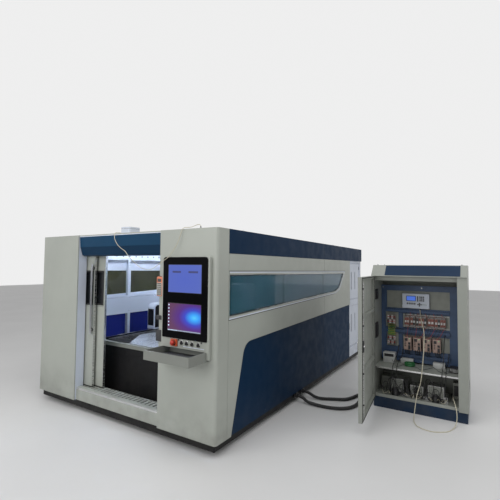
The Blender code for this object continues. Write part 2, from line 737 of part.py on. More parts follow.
def build_gantry(paint, origin, rail_top):
    beam_left = (BED_LEFT + BED_BEAM_W / 2) + END_W / 2
    beam_right = (BED_RIGHT - BED_BEAM_W / 2) - END_W / 2
    housing = [
        (END_Y[0], rail_top + FIT), (END_Y[1], rail_top + FIT), (END_Y[1], END_TOP), (END_Y[0], END_TOP)
    ]
    housing = rounded(housing, {2: END_R / 2, 3: END_R})
    ends = {"left": (beam_left - END_W, beam_left), "right": (beam_right, beam_right + END_W)}
    for side, x in ends.items():
        end = add_object(f"gantry_end_{side}", prism(housing, "X", *x), paint["white"], origin)
        soften(end, 0.008, 2)
    beam = add_object(
        "gantry_beam", box((beam_left + FIT, beam_right - FIT), BEAM_Y, BEAM_Z), paint["black"], origin
    )
    soften(beam, 0.006)
    low, high = CHAIN_X
    bottom = BEAM_Z[1] + FIT
    chain = [(high, bottom), (high, bottom + CHAIN_T)]
    outer = CHAIN_BEND_R + CHAIN_T
    middle = (low, bottom + outer)
    for step in range(9):
        angle = math.radians(-90 - 180 * step / 8)
        chain.append((middle[0] + CHAIN_BEND_R * math.cos(angle), middle[1] + CHAIN_BEND_R * math.sin(angle)))
    chain += [(high, middle[1] + CHAIN_BEND_R), (high, middle[1] + outer)]
    for step in range(9):
        angle = math.radians(90 + 180 * step / 8)
        chain.append((middle[0] + outer * math.cos(angle), middle[1] + outer * math.sin(angle)))
    chain_y = (CARRIAGE_Y[1] + 0.005, CARRIAGE_Y[1] + 0.005 + CHAIN_W)
    add_object("x_cable_chain", prism(chain, "Y", *chain_y), paint["plastic"], origin)

    front, rear = CARRIAGE_Y
    cover = [
        (front, CARRIAGE_Z[0]), (BEAM_Y[0] - FIT, CARRIAGE_Z[0]), (BEAM_Y[0] - FIT, BEAM_Z[1] + FIT),
        (rear, BEAM_Z[1] + FIT), (rear, CARRIAGE_Z[1]), (front, CARRIAGE_Z[1]),
    ]
    cover = rounded(cover, {4: CARRIAGE_R, 5: CARRIAGE_R})
    carriage = add_object("carriage_cover", prism(cover, "X", *CARRIAGE_X), paint["white"], origin)
    soften(carriage, 0.006)
    middle = (CARRIAGE_X[0] + CARRIAGE_X[1]) / 2
    slide_y = (front - FIT - SLIDE_T, front - FIT)
    slide = box((middle - SLIDE_W / 2, middle + SLIDE_W / 2), slide_y, SLIDE_Z)
    add_object("z_slide", slide, paint["steel"], origin)
    head_y = (slide_y[0] - FIT - HEAD_D, slide_y[0] - FIT)
    head = add_object(
        "cutting_head", box((middle - HEAD_W / 2, middle + HEAD_W / 2), head_y, HEAD_Z),
        paint["steel"], origin,
    )
    soften(head, 0.006)
    tip = tapered(
        (middle, sum(head_y) / 2), "Z", NOZZLE_TIP_Z, HEAD_Z[0] + 0.02, NOZZLE_TIP_R, NOZZLE_R, 16
    )
    join(head, guide("nozzle_cone", tip, origin))


def build_leaves(paint, origin):
    leaves = {
        "front": (LEAF_FRONT_EDGE, LEAF_FRONT_Y), "rear": (LEAF_REAR_EDGE, LEAF_REAR_Y),
    }
    for name, (edge, y) in leaves.items():
        xs = [edge - LEAF_W, edge - LEAF_W + LEAF_MARGIN, edge - LEAF_MARGIN, edge]
        zs = [LEAF_BOTTOM, LEAF_WINDOW_Z[0], LEAF_WINDOW_Z[1], TRACK_BOTTOM - FIT]
        leaf = cells("Y", y, y + LEAF_T, xs, zs, lambda i, j: (i, j) != (1, 1))
        add_object(f"door_leaf_{name}", leaf, paint["light"], origin)
        pane = box(
            (xs[1] + FIT, xs[2] - FIT), (y + 0.010, y + 0.010 + GLASS), (zs[1] + FIT, zs[2] - FIT)
        )
        add_object(f"door_window_{name}", pane, paint["screen"], origin)
    back = LEAF_FRONT_Y - FIT
    face = back - HANDLE_REACH
    handle = add_object(
        "door_handle",
        box((HANDLE_X - HANDLE_W / 2, HANDLE_X + HANDLE_W / 2), (face - HANDLE_T, face), HANDLE_Z),
        paint["steel"], origin,
    )
    for z in (HANDLE_Z[0] + HANDLE_POST_INSET, HANDLE_Z[1] - HANDLE_POST_INSET):
        post = bar((HANDLE_X, z), "Y", face - HANDLE_T / 2, back, HANDLE_POST_R, 12)
        join(handle, guide(f"handle_post_{z:.2f}", post, origin))


def build_console(paint, origin):
    outline = rounded(
        [(CONSOLE_X[0], CONSOLE_Z[0]), (CONSOLE_X[1], CONSOLE_Z[0]),
         (CONSOLE_X[1], CONSOLE_Z[1]), (CONSOLE_X[0], CONSOLE_Z[1])],
        {2: CONSOLE_R, 3: CONSOLE_R},
    )
    housing = add_object(
        "console_housing", prism(outline, "Y", -CONSOLE_T, -FIT), paint["light"], origin
    )
    mouth = box(
        (TRAY_X[0] - TRAY_CLEAR, TRAY_X[1] + TRAY_CLEAR), (-2 * CONSOLE_T, CONSOLE_T),
        (TRAY_Z[0] - TRAY_CLEAR, TRAY_Z[1] + TRAY_CLEAR),
    )
    cut(housing, guide("console_mouth", mouth, origin))
    plate_w, plate_h, plate_t = ESTOP_PLATE
    plate = box(
        (ESTOP[0] - plate_w / 2, ESTOP[0] + plate_w / 2), (-CONSOLE_T - plate_t, -CONSOLE_T / 2),
        (ESTOP[1] - plate_h / 2, ESTOP[1] + plate_h / 2),
    )
    join(housing, guide("emergency_stop_plate", plate, origin))
    hole = bar(ESTOP, "Y", -CONSOLE_T - plate_t - 0.01, -CONSOLE_T - plate_t + ESTOP_HOLE,
               ESTOP_STEM_R + FIT, 16)
    cut(housing, guide("emergency_stop_hole", hole, origin))
    for index, (bottom, top) in enumerate(CLIP_Z):
        clip = box(
            (CONSOLE_X[0] - CLIP_W, CONSOLE_X[0] + 0.002), (-FIT - CLIP_T, -FIT), (bottom, top)
        )
        join(housing, guide(f"edge_clip_{index}", clip, origin))
    face = -CONSOLE_T - plate_t
    button = add_object(
        "emergency_stop_button",
        bar(ESTOP, "Y", face - ESTOP_STEM_OUT, face + ESTOP_HOLE / 2, ESTOP_STEM_R, 16),
        paint["red"], origin,
    )
    cap = bar(ESTOP, "Y", face - ESTOP_STEM_OUT - ESTOP_CAP_T, face - ESTOP_STEM_OUT + 0.004,
              ESTOP_CAP_R, 24)
    join(button, guide("emergency_stop_cap", cap, origin))
    for index, x in enumerate(KNOB_X):
        place = (x, KNOB_Z)
        knob = add_object(
            f"selector_knob_{index + 1}",
            bar(place, "Y", -CONSOLE_T - FIT - KNOB_T / 2, -CONSOLE_T - FIT, KNOB_R, 20),
            paint["plastic"], origin,
        )
        grip = box(
            (x - GRIP_W / 2, x + GRIP_W / 2), (-CONSOLE_T - FIT - KNOB_T, -CONSOLE_T - KNOB_T / 4),
            (KNOB_Z - KNOB_R * 0.9, KNOB_Z + KNOB_R * 0.9),
        )
        join(knob, guide(f"knob_grip_{index + 1}", grip, origin))
    pane = rounded(
        [(GLASS_X[0], GLASS_Z[0]), (GLASS_X[1], GLASS_Z[0]),
         (GLASS_X[1], GLASS_Z[1]), (GLASS_X[0], GLASS_Z[1])],
        {0: CONSOLE_R / 3, 1: CONSOLE_R / 3, 2: CONSOLE_R, 3: CONSOLE_R},
    )
    add_object(
        "console_glass", prism(pane, "Y", -CONSOLE_T - FIT - GLASS_T, -CONSOLE_T - FIT),
        paint["screen"], origin,
    )
    tray = add_object("keyboard_tray", box(TRAY_X, TRAY_Y, TRAY_Z), paint["light"], origin)
    well = box(
        (TRAY_X[0] + TRAY_WALL, TRAY_X[1] - TRAY_WALL), (TRAY_Y[0] + TRAY_WALL, TRAY_Y[1] - TRAY_WALL),
        (TRAY_Z[0] + TRAY_FLOOR, TRAY_Z[1] + 0.02),
    )
    cut(tray, guide("tray_well", well, origin))
    remote = add_object(
        "remote_pendant", box(PENDANT_X, (-FIT - PENDANT_T, -FIT), PENDANT_Z), paint["orange"], origin
    )
    soften(remote, 0.008, 2)


def stepped(edge, blocks, back):
    """The plan outline of a row of modules: (width, depth) blocks on one rail."""
    points = [(edge, back)]
    place = edge
    for width, depth in blocks:
        points += [(place, back - depth), (place + width, back - depth)]
        place += width
    points.append((place, back))
    return points


def cabinet_shell(paint, origin):
    section = [
        (CABINET_FRONT, CABINET_Z[0]), (CABINET_BACK, CABINET_Z[0]), (CABINET_BACK, CABINET_Z[1]),
        (HEADER_BACK, CABINET_Z[1]), (HEADER_FRONT, HEADER_BOTTOM), (CABINET_FRONT, HEADER_BOTTOM),
    ]
    body = add_object("cabinet_body", prism(section, "X", *CABINET_X), paint["light"], origin)
    inside = box(
        (CABINET_X[0] + CABINET_WALL, CABINET_X[1] - CABINET_WALL),
        (CABINET_FRONT + CABINET_WALL, CABINET_BACK - CABINET_WALL),
        (CABINET_Z[0] + CABINET_WALL, HEADER_BOTTOM - CABINET_WALL),
    )
    cut(body, guide("cabinet_inside", inside, origin))
    mouth = box(
        (CABINET_X[0] + CABINET_LIP, POST_X), (CABINET_FRONT - 0.1, CABINET_FRONT + 2 * CABINET_WALL),
        CABINET_OPEN_Z,
    )
    cut(body, guide("cabinet_mouth", mouth, origin))
    post = box(
        (POST_X, CABINET_X[1]), (DOOR_PLANE, CABINET_FRONT + CABINET_WALL / 2),
        (CABINET_Z[0], HEADER_BOTTOM + 0.005),
    )
    join(body, guide("cabinet_post", post, origin))
    pivot = pivot_point()
    pin = bar(pivot, "Z", CABINET_DOOR_Z[1] - PIN_REACH, HEADER_BOTTOM + 0.008, PIN_R, 12)
    join(body, guide("upper_hinge_pin", pin, origin))

    lean = Vector((HEADER_BACK - HEADER_FRONT, CABINET_Z[1] - HEADER_BOTTOM))
    along = lean.normalized()
    out = Vector((-along.y, along.x))
    start = Vector((HEADER_FRONT, HEADER_BOTTOM)) + along * STRIP_INSET + out * FIT
    end = Vector((HEADER_BACK, CABINET_Z[1])) - along * STRIP_INSET + out * FIT
    strip = [tuple(start), tuple(end), tuple(end + out * STRIP_T), tuple(start + out * STRIP_T)]
    add_object("cabinet_header_strip", prism(strip, "X", *STRIP_X), paint["navy"], origin)

    plinth = add_object(
        "cabinet_plinth",
        box((CABINET_X[0] + PLINTH_INSET, CABINET_X[1] - PLINTH_INSET),
            (PLINTH_FRONT, CABINET_BACK - PLINTH_INSET), (0.0, CABINET_Z[0] - FIT)),
        paint["navy"], origin,
    )
    lug = box(
        (pivot[0] - PIVOT_INSET, pivot[0] + 2 * PIVOT_INSET), (DOOR_PLANE, PLINTH_FRONT + 0.005),
        (CABINET_Z[0] - 0.025, CABINET_Z[0] - FIT),
    )
    join(plinth, guide("hinge_lug", lug, origin))
    foot_pin = bar(pivot, "Z", CABINET_Z[0] - 0.010, CABINET_DOOR_Z[0] + PIN_REACH, PIN_R, 12)
    join(plinth, guide("lower_hinge_pin", foot_pin, origin))
    for y in CONDUIT_PORT_Y:
        stub = bar((y, CONDUIT_PORT_Z), "X", CABINET_X[0] + PLINTH_INSET - GLAND_L,
                   CABINET_X[0] + PLINTH_INSET + 0.02, CONDUIT_R + 0.006, 12)
        join(plinth, guide(f"conduit_port_{y:.2f}", stub, origin))


def pivot_point():
    return CABINET_X[0] + PIVOT_INSET, DOOR_PLANE + PIVOT_INSET


def cabinet_door(paint, origin):
    """The door is modelled closed, from its hinge along +X, and stands open."""
    pivot = pivot_point()
    hinge = bpy.data.objects.new("cabinet_hinge", None)
    bpy.context.scene.collection.objects.link(hinge)
    hinge.parent = origin
    hinge.location = (pivot[0], pivot[1], 0.0)
    hinge.rotation_euler = (0.0, 0.0, math.radians(-CABINET_DOOR_OPEN))
    low, high = -PIVOT_INSET, CABINET_DOOR_W - PIVOT_INSET
    front, back = -PIVOT_INSET, CABINET_DOOR_T - PIVOT_INSET
    door = add_object(
        "cabinet_door", box((low, high), (front, back), CABINET_DOOR_Z), paint["light"], hinge
    )
    levels = [CABINET_DOOR_Z[0] + DOOR_FRAME_W]
    for rib in DOOR_RIBS:
        levels += [rib - DOOR_FRAME_W / 2, rib + DOOR_FRAME_W / 2]
    levels.append(CABINET_DOOR_Z[1] - DOOR_FRAME_W)
    for index in range(0, len(levels), 2):
        pocket = box(
            (low + DOOR_FRAME_W, high - DOOR_FRAME_W), (front + DOOR_SKIN, back + 0.01),
            (levels[index], levels[index + 1]),
        )
        cut(door, guide(f"door_pocket_{index // 2}", pocket, hinge))
    for name, z in (("top", CABINET_DOOR_Z[1]), ("foot", CABINET_DOOR_Z[0])):
        hole = bar((0, 0), "Z", z - PIN_REACH - 0.002, z + PIN_REACH + 0.002, PIN_R + FIT, 12)
        cut(door, guide(f"hinge_hole_{name}", hole, hinge))


def cabinet_inside(paint, origin):
    x = (CABINET_X[0] + CABINET_WALL + FIT, CABINET_X[1] - CABINET_WALL - FIT)
    plate = add_object("mounting_plate", box(x, PLATE_Y, PLATE_Z), paint["navy"], origin)
    for index, (left, right, bottom, top) in enumerate(BAYS):
        bay = box((left, right), (PLATE_Y[0] - 0.01, PLATE_Y[0] + BAY_DEPTH), (bottom, top))
        cut(plate, guide(f"plate_bay_{index}", bay, origin))
    floor = PLATE_Y[0] + BAY_DEPTH - FIT
    display = add_object(
        "controller_display", box(DISPLAY_X, (floor - DISPLAY_T, floor), DISPLAY_Z), paint["white"], origin
    )
    soften(display, 0.006, 2)
    relays = [(0.055, 0.062), (0.012, 0.020), (0.060, 0.050), (0.010, 0.020), (0.120, 0.066),
              (0.012, 0.020), (0.070, 0.048), (0.010, 0.020), (0.120, 0.058)]
    add_object(
        "relay_bank", prism(stepped(BAYS[2][0] + 0.03, relays, floor), "Z",
                            BAYS[2][2] + 0.02, BAYS[2][3] - 0.02), paint["parts"], origin,
    )
    drives = []
    for index in range(4):
        drives += [(0.088, 0.110), (0.022, 0.016)]
    add_object(
        "drive_bank", prism(stepped(BAYS[4][0] + 0.03, drives[:-1], floor), "Z",
                            BAYS[4][2] + 0.012, BAYS[4][3] - 0.012), paint["parts"], origin,
    )
    strip_front = PLATE_Y[0] - FIT
    modules = [(BAYS[3][2] + 0.03, strip_front)]
    edge = BAYS[3][2] + 0.03
    for height, depth in ((0.050, 0.045), (0.006, 0.015), (0.050, 0.045), (0.160, 0.012),
                          (0.055, 0.055), (0.006, 0.015), (0.050, 0.055)):
        modules += [(edge, strip_front - depth), (edge + height, strip_front - depth)]
        edge += height
    modules.append((edge, strip_front))
    profile = [(y, z) for z, y in modules]
    middle = (BAYS[1][0] + BAYS[1][1]) / 2
    add_object(
        "breaker_bank", prism(profile, "X", middle - 0.05, middle + 0.05), paint["parts"], origin
    )
    shelf = box(x, (CABINET_FRONT + CABINET_WALL + FIT, CABINET_BACK - CABINET_WALL - FIT),
                (SHELF_TOP - SHELF_T, SHELF_TOP))
    add_object("cabinet_shelf", shelf, paint["light"], origin)
    floor_z = CABINET_Z[0] + CABINET_WALL + FIT
    supplies = [(1.000, floor_z), (1.640, floor_z)]
    for right, top in ((1.640, 0.060), (1.600, 0.060), (1.600, 0.170), (1.430, 0.170), (1.430, 0.030),
                       (1.380, 0.030), (1.380, 0.140), (1.240, 0.140), (1.240, 0.020), (1.160, 0.020),
                       (1.160, 0.190), (1.020, 0.190), (1.020, 0.040), (1.000, 0.040)):
        supplies.append((right, floor_z + top))
    front, back = CABINET_FRONT + 0.130, CABINET_FRONT + 0.300
    add_object("power_supply", prism(supplies, "Y", front, back), paint["steel"], origin)


def build_cords(paint, origin):
    exit_y = ROOF_BOX_Y[0] + 0.10
    exit_z = HEIGHT + 0.030
    start_x = ROOF_BOX_X[1] + GLAND_L + FIT
    lead = [
        (start_x, exit_y, exit_z), (start_x + 0.02, exit_y, exit_z),
        (start_x + 0.055, 0.325, exit_z - 0.012), (-1.400, 0.240, HEIGHT + 0.0100),
        (-1.405, 0.120, HEIGHT + 0.0070), (-1.402, 0.030, HEIGHT + 0.0075),
        (-1.399, 0.000, HEIGHT + 0.0040), (-1.397, -0.014, HEIGHT - 0.012),
        (-1.386, -0.022, 1.985), (-1.330, -0.028, 1.920), (-1.262, -0.036, 1.880), (-1.186, -0.044, 1.846),
        (-1.128, -0.050, 1.797), (-1.045, -0.056, 1.742), (-0.946, -0.060, 1.687), (-0.866, -0.062, 1.663),
        (-0.796, -0.062, 1.657), (-0.730, -0.062, 1.677), (-0.668, -0.060, 1.714), (-0.606, -0.058, 1.748),
        (-0.545, -0.055, 1.785), (-0.490, -0.045, 1.852), (-0.455, -0.034, 1.915), (-0.434, -0.024, 1.977),
        (-0.422, -0.018, 2.022), (-0.412, -0.012, 2.050), (-0.400, 0.008, 2.064), (-0.370, 0.060, 2.072),
        (LEAD_END[0] - 0.022, LEAD_END[1] - 0.010, 2.100), (LEAD_END[0], LEAD_END[1], 2.088),
        (LEAD_END[0], LEAD_END[1], HEIGHT + GLAND_L + FIT),
    ]
    add_cord("signal_lead", lead, LEAD_R, paint["beige"], origin)
    base_x = -BASE_INSET + GLAND_L + FIT
    port_x = CABINET_X[0] + PLINTH_INSET - GLAND_L - FIT
    ground = CONDUIT_R + 0.002
    runs = {
        "floor_conduit_1": [
            (base_x, CONDUIT_Y[1], CONDUIT_Z), (0.020, CONDUIT_Y[1], CONDUIT_Z),
            (0.080, 1.904, 0.066), (0.150, 1.915, 0.034),
            (0.230, 1.935, ground), (0.377, 2.005, ground), (0.490, 2.070, ground),
            (0.545, 2.170, ground), (0.580, 2.290, ground), (0.640, 2.380, 0.036), (0.705, 2.416, 0.064),
            (port_x - 0.035, CONDUIT_PORT_Y[1], CONDUIT_PORT_Z), (port_x, CONDUIT_PORT_Y[1], CONDUIT_PORT_Z),
        ],
        "floor_conduit_2": [
            (base_x, CONDUIT_Y[0], CONDUIT_Z), (0.020, CONDUIT_Y[0], CONDUIT_Z),
            (0.080, 1.698, 0.066), (0.150, 1.690, 0.034),
            (0.310, 1.685, ground), (0.480, 1.710, ground), (0.610, 1.800, ground),
            (0.665, 1.950, ground), (0.665, 2.120, ground), (0.680, 2.230, 0.036), (0.725, 2.290, 0.064),
            (port_x - 0.035, CONDUIT_PORT_Y[0], CONDUIT_PORT_Z), (port_x, CONDUIT_PORT_Y[0], CONDUIT_PORT_Z),
        ],
    }
    for name, points in runs.items():
        add_cord(name, points, CONDUIT_R, paint["black"], origin, 3)
    display_bottom = DISPLAY_Z[0] - FIT
    flex_y = PLATE_Y[0] + BAY_DEPTH - DISPLAY_T / 2
    ground = FLEX_R + 0.0015
    flex = [
        (1.320, flex_y, display_bottom), (1.320, flex_y, display_bottom - 0.015),
        (1.326, flex_y - 0.030, 1.140), (1.350, 2.380, 1.060),
        (1.395, 2.240, 0.940), (1.410, 2.105, 0.780), (1.400, 2.070, 0.600), (1.380, 2.050, 0.400),
        (1.340, 2.030, 0.240), (1.325, 2.004, 0.120), (1.320, 1.955, 0.034), (1.324, 1.900, ground + 0.004),
        (1.340, 1.840, ground), (1.390, 1.740, ground), (1.520, 1.690, ground), (1.650, 1.760, ground),
        (1.700, 1.850, ground), (1.728, 1.935, 0.020), (1.740, 2.010, 0.065), (1.735, 2.060, 0.140),
        (1.715, 2.100, 0.215), (1.695, 2.200, 0.225), (1.690, 2.290, 0.215), (1.690, 2.330, 0.170),
        (1.690, 2.330, CABINET_Z[0] + CABINET_WALL + FIT),
    ]
    add_cord("controller_lead", flex, FLEX_R, paint["beige"], origin)


def joint_points():
    """A point on the axis that each moving piece turns about or slides along."""
    carriage = ((CARRIAGE_X[0] + CARRIAGE_X[1]) / 2, CARRIAGE_Y[0], BEAM_Z[1])
    beam = ((BED_LEFT + BED_RIGHT) / 2, END_Y[0], BED_BEAM_TOP + RAIL_H)
    front_leaf = (LEAF_FRONT_EDGE, LEAF_FRONT_Y, LEAF_BOTTOM)
    rear_leaf = (LEAF_REAR_EDGE, LEAF_REAR_Y, LEAF_BOTTOM)
    service_hinge = (-PANEL - FIT - SERVICE_DOOR_INSET, FRAME_POSTS[-1] - FIT, 0.0)
    points = {
        "gantry_beam": beam, "gantry_end_left": beam, "gantry_end_right": beam, "x_cable_chain": beam,
        "carriage_cover": carriage, "z_slide": carriage, "cutting_head": carriage,
        "door_leaf_front": front_leaf, "door_window_front": front_leaf, "door_handle": front_leaf,
        "door_leaf_rear": rear_leaf, "door_window_rear": rear_leaf,
        "service_door_lower": service_hinge, "service_door_upper": service_hinge,
        "keyboard_tray": ((TRAY_X[0] + TRAY_X[1]) / 2, TRAY_Y[0], TRAY_Z[0]),
        "emergency_stop_button": (ESTOP[0], -CONSOLE_T, ESTOP[1]),
    }
    for index, x in enumerate(KNOB_X):
        points[f"selector_knob_{index + 1}"] = (x, -CONSOLE_T, KNOB_Z)
    return points


def set_origin(name, point):
    """Put a piece's own origin on its joint's axis; the piece keeps its place."""
    item = bpy.data.objects[name]
    place = Vector(point)
    item.data.transform(Matrix.Translation(-place))
    item.location = place


def main():
    clear_scene()
    paint = finishes()
    origin = bpy.data.objects.new("origin", None)
    bpy.context.scene.collection.objects.link(origin)
    origin.location = (-CENTRE_X, -CENTRE_Y, 0.0)
    build_base(paint, origin)
    build_columns(paint, origin)
    build_header(paint, origin)
    build_sill(paint, origin)
    for side in ("right", "left"):
        build_side(side, paint, origin)
        build_frame(side, paint, origin)
    build_roof(paint, origin)
    rail_top = build_bed(paint, origin)
    build_gantry(paint, origin, rail_top)
    build_leaves(paint, origin)
    build_console(paint, origin)
    cabinet_shell(paint, origin)
    cabinet_door(paint, origin)
    cabinet_inside(paint, origin)
    build_cords(paint, origin)
    for name, point in joint_points().items():
        set_origin(name, point)
    bpy.context.view_layer.update()


main()
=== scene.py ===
"""Looks of an enclosed sheet metal laser cutter and its electrical cabinet.

Machine coordinates start at the enclosure's front right corner on the floor, X to
the right and Y to the rear; place() turns them into the frame's coordinates.
"""

import json
import math
import sys

import bmesh
import bpy
from bpy.props import FloatProperty, FloatVectorProperty, IntProperty, PointerProperty
from bpy.types import Operator, Panel, PropertyGroup
from mathutils import Matrix, Vector
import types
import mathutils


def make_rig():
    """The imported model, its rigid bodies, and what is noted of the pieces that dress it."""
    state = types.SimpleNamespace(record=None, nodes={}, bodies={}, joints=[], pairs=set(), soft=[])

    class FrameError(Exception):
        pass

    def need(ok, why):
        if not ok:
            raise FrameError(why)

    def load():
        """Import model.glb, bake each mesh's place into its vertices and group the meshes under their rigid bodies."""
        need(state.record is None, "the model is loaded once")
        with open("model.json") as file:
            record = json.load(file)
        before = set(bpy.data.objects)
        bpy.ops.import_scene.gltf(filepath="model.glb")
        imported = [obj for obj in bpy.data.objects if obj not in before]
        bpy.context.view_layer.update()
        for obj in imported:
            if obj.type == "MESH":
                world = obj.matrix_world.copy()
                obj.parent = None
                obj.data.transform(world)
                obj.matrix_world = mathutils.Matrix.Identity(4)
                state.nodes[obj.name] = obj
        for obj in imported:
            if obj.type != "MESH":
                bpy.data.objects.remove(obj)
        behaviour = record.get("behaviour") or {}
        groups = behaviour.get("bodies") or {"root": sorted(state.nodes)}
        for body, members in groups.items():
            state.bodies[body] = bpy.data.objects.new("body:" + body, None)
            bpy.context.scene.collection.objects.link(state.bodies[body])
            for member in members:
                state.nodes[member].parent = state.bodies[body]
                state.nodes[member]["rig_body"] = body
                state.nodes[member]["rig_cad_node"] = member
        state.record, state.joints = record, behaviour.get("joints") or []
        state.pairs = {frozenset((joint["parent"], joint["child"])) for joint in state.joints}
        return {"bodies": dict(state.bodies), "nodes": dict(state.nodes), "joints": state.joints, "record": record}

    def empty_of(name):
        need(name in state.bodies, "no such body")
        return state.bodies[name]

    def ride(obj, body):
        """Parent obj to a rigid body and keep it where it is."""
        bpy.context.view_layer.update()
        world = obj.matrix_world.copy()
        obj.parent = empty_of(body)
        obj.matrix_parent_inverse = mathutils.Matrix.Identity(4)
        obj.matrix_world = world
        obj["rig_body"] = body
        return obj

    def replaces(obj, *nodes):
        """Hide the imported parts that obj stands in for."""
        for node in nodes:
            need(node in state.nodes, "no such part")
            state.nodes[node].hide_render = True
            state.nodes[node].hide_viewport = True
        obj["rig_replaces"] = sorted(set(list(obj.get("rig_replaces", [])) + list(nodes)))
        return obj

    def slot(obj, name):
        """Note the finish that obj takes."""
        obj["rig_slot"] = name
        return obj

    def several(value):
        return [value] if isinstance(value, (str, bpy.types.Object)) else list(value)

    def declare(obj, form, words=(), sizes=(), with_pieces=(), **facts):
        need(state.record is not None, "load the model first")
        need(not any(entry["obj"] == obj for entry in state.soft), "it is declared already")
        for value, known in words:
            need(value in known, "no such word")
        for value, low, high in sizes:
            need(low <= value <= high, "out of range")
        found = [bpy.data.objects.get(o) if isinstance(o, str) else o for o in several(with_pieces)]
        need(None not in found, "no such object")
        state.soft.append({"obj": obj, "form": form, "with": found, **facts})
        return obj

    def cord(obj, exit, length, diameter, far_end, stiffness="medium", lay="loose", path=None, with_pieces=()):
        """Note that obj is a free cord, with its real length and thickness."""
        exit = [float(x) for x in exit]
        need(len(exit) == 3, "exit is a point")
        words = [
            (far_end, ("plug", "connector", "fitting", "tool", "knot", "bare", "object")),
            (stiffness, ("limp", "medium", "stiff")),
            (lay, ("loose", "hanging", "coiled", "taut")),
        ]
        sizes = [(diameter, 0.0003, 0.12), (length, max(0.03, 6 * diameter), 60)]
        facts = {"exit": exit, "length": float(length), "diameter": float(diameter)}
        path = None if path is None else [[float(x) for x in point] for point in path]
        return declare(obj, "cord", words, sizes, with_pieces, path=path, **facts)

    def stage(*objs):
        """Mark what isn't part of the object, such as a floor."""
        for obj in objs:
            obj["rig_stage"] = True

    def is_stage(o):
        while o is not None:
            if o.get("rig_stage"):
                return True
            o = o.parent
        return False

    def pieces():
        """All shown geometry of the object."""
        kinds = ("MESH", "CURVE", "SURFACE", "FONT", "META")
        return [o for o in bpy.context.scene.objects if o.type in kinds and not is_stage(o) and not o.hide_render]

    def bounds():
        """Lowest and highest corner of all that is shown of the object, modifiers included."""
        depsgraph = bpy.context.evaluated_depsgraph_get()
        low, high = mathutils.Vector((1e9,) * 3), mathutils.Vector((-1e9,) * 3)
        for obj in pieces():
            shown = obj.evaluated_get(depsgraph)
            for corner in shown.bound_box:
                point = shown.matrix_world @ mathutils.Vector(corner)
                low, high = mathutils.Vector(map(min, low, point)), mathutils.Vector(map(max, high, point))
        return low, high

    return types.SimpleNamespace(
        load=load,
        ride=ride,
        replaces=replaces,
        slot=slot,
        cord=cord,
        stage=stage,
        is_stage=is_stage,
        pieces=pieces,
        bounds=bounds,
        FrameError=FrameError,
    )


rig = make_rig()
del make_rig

bl_info = {
    "name": "Laser Cutter Looks",
    "version": (1, 0, 0),
    "blender": (4, 5, 0),
    "location": "3D View > Sidebar > Cutter",
    "description": "Dresses the solids of an enclosed laser cutter with finishes and detail",
    "category": "Object",
}

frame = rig.load()
CAD_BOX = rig.bounds()

SHIFT = Vector((0.486, -2.19, 0.0))
ROOT = "machine"
FRONTWARDS = (0, -1, 0)
FIT = 0.0003
SKIN = 0.0012


# Sizes and colours


def colour_property(name, description, default):
    return FloatVectorProperty(
        name=name, description=description, default=default, subtype="COLOR", size=3, min=0.0, max=1.0
    )


def length_property(name, description, default):
    return FloatProperty(name=name, description=description, default=default, unit="LENGTH")


def power_property(name, description, default):
    return FloatProperty(name=name, description=description, default=default, unit="POWER")


def angle_property(name, description, degrees):
    return FloatProperty(name=name, description=description, default=math.radians(degrees), unit="ROTATION")


class CutterPaint(PropertyGroup):
    panel: colour_property("Panel grey", "Outer sheet panels", (0.358, 0.377, 0.341))
    navy: colour_property("Navy", "Dark bands and lower panels", (0.0022, 0.019, 0.052))
    inner_blue: colour_property("Inner blue", "Lower panels seen from inside", (0.022, 0.034, 0.23))
    interior: colour_property("Interior white", "Frames and covers inside", (0.59, 0.635, 0.722))
    black: colour_property("Black paint", "Bed, base and beam", (0.007, 0.007, 0.008))
    steel: colour_property("Steel", "Bare and ground steel", (0.5, 0.5, 0.51))
    sheet: colour_property("Sheet", "Sheet metal on the table", (0.86, 0.89, 0.94))
    window: colour_property("Window tint", "Side windows", (0.001, 0.06, 0.084))
    door_window: colour_property("Door window tint", "Windows of the sliding door", (0.01, 0.011, 0.013))
    screen_glass: colour_property("Screen glass", "Glass over the console's screens",
                                  (0.0016, 0.0016, 0.0022))
    orange: colour_property("Orange plastic", "Hand-held remote control", (0.62, 0.19, 0.095))
    red: colour_property("Red plastic", "Emergency stop", (0.5, 0.03, 0.018))
    dark_plastic: colour_property("Dark plastic", "Knobs, clips and chain", (0.025, 0.025, 0.027))
    pale_lead: colour_property("Pale lead", "Thin grey-white leads", (0.5, 0.47, 0.36))
    conduit: colour_property("Conduit", "Floor conduits", (0.012, 0.012, 0.013))
    gear: colour_property("Control gear", "Moulded housings in the cabinet", (0.34, 0.25, 0.22))


class CutterStudio(PropertyGroup):
    floor: colour_property("Floor", "Plain floor and backdrop", (0.66, 0.66, 0.66))
    key_power: power_property("Key", "Power of the large top light", 215.0)
    fill_power: power_property("Fill", "Power of the front light", 150.0)
    side_power: power_property("Side", "Power of the side light", 90.0)
    world: FloatProperty(name="World", description="Strength of the even light", default=0.42, min=0.0,
                         max=4.0)
    lens: FloatProperty(name="Lens", description="Focal length in millimetres", default=26.62, min=1.0)
    yaw: angle_property("Yaw", "Turn to the left", 32.0706)
    pitch: angle_property("Pitch", "Tilt upwards", 2.6084)
    roll: angle_property("Roll", "Lean of the camera", 0.5762)
    camera: FloatVectorProperty(
        name="Camera", description="Camera's place", default=(2.4786, -4.8307, 1.6951), unit="LENGTH", size=3
    )


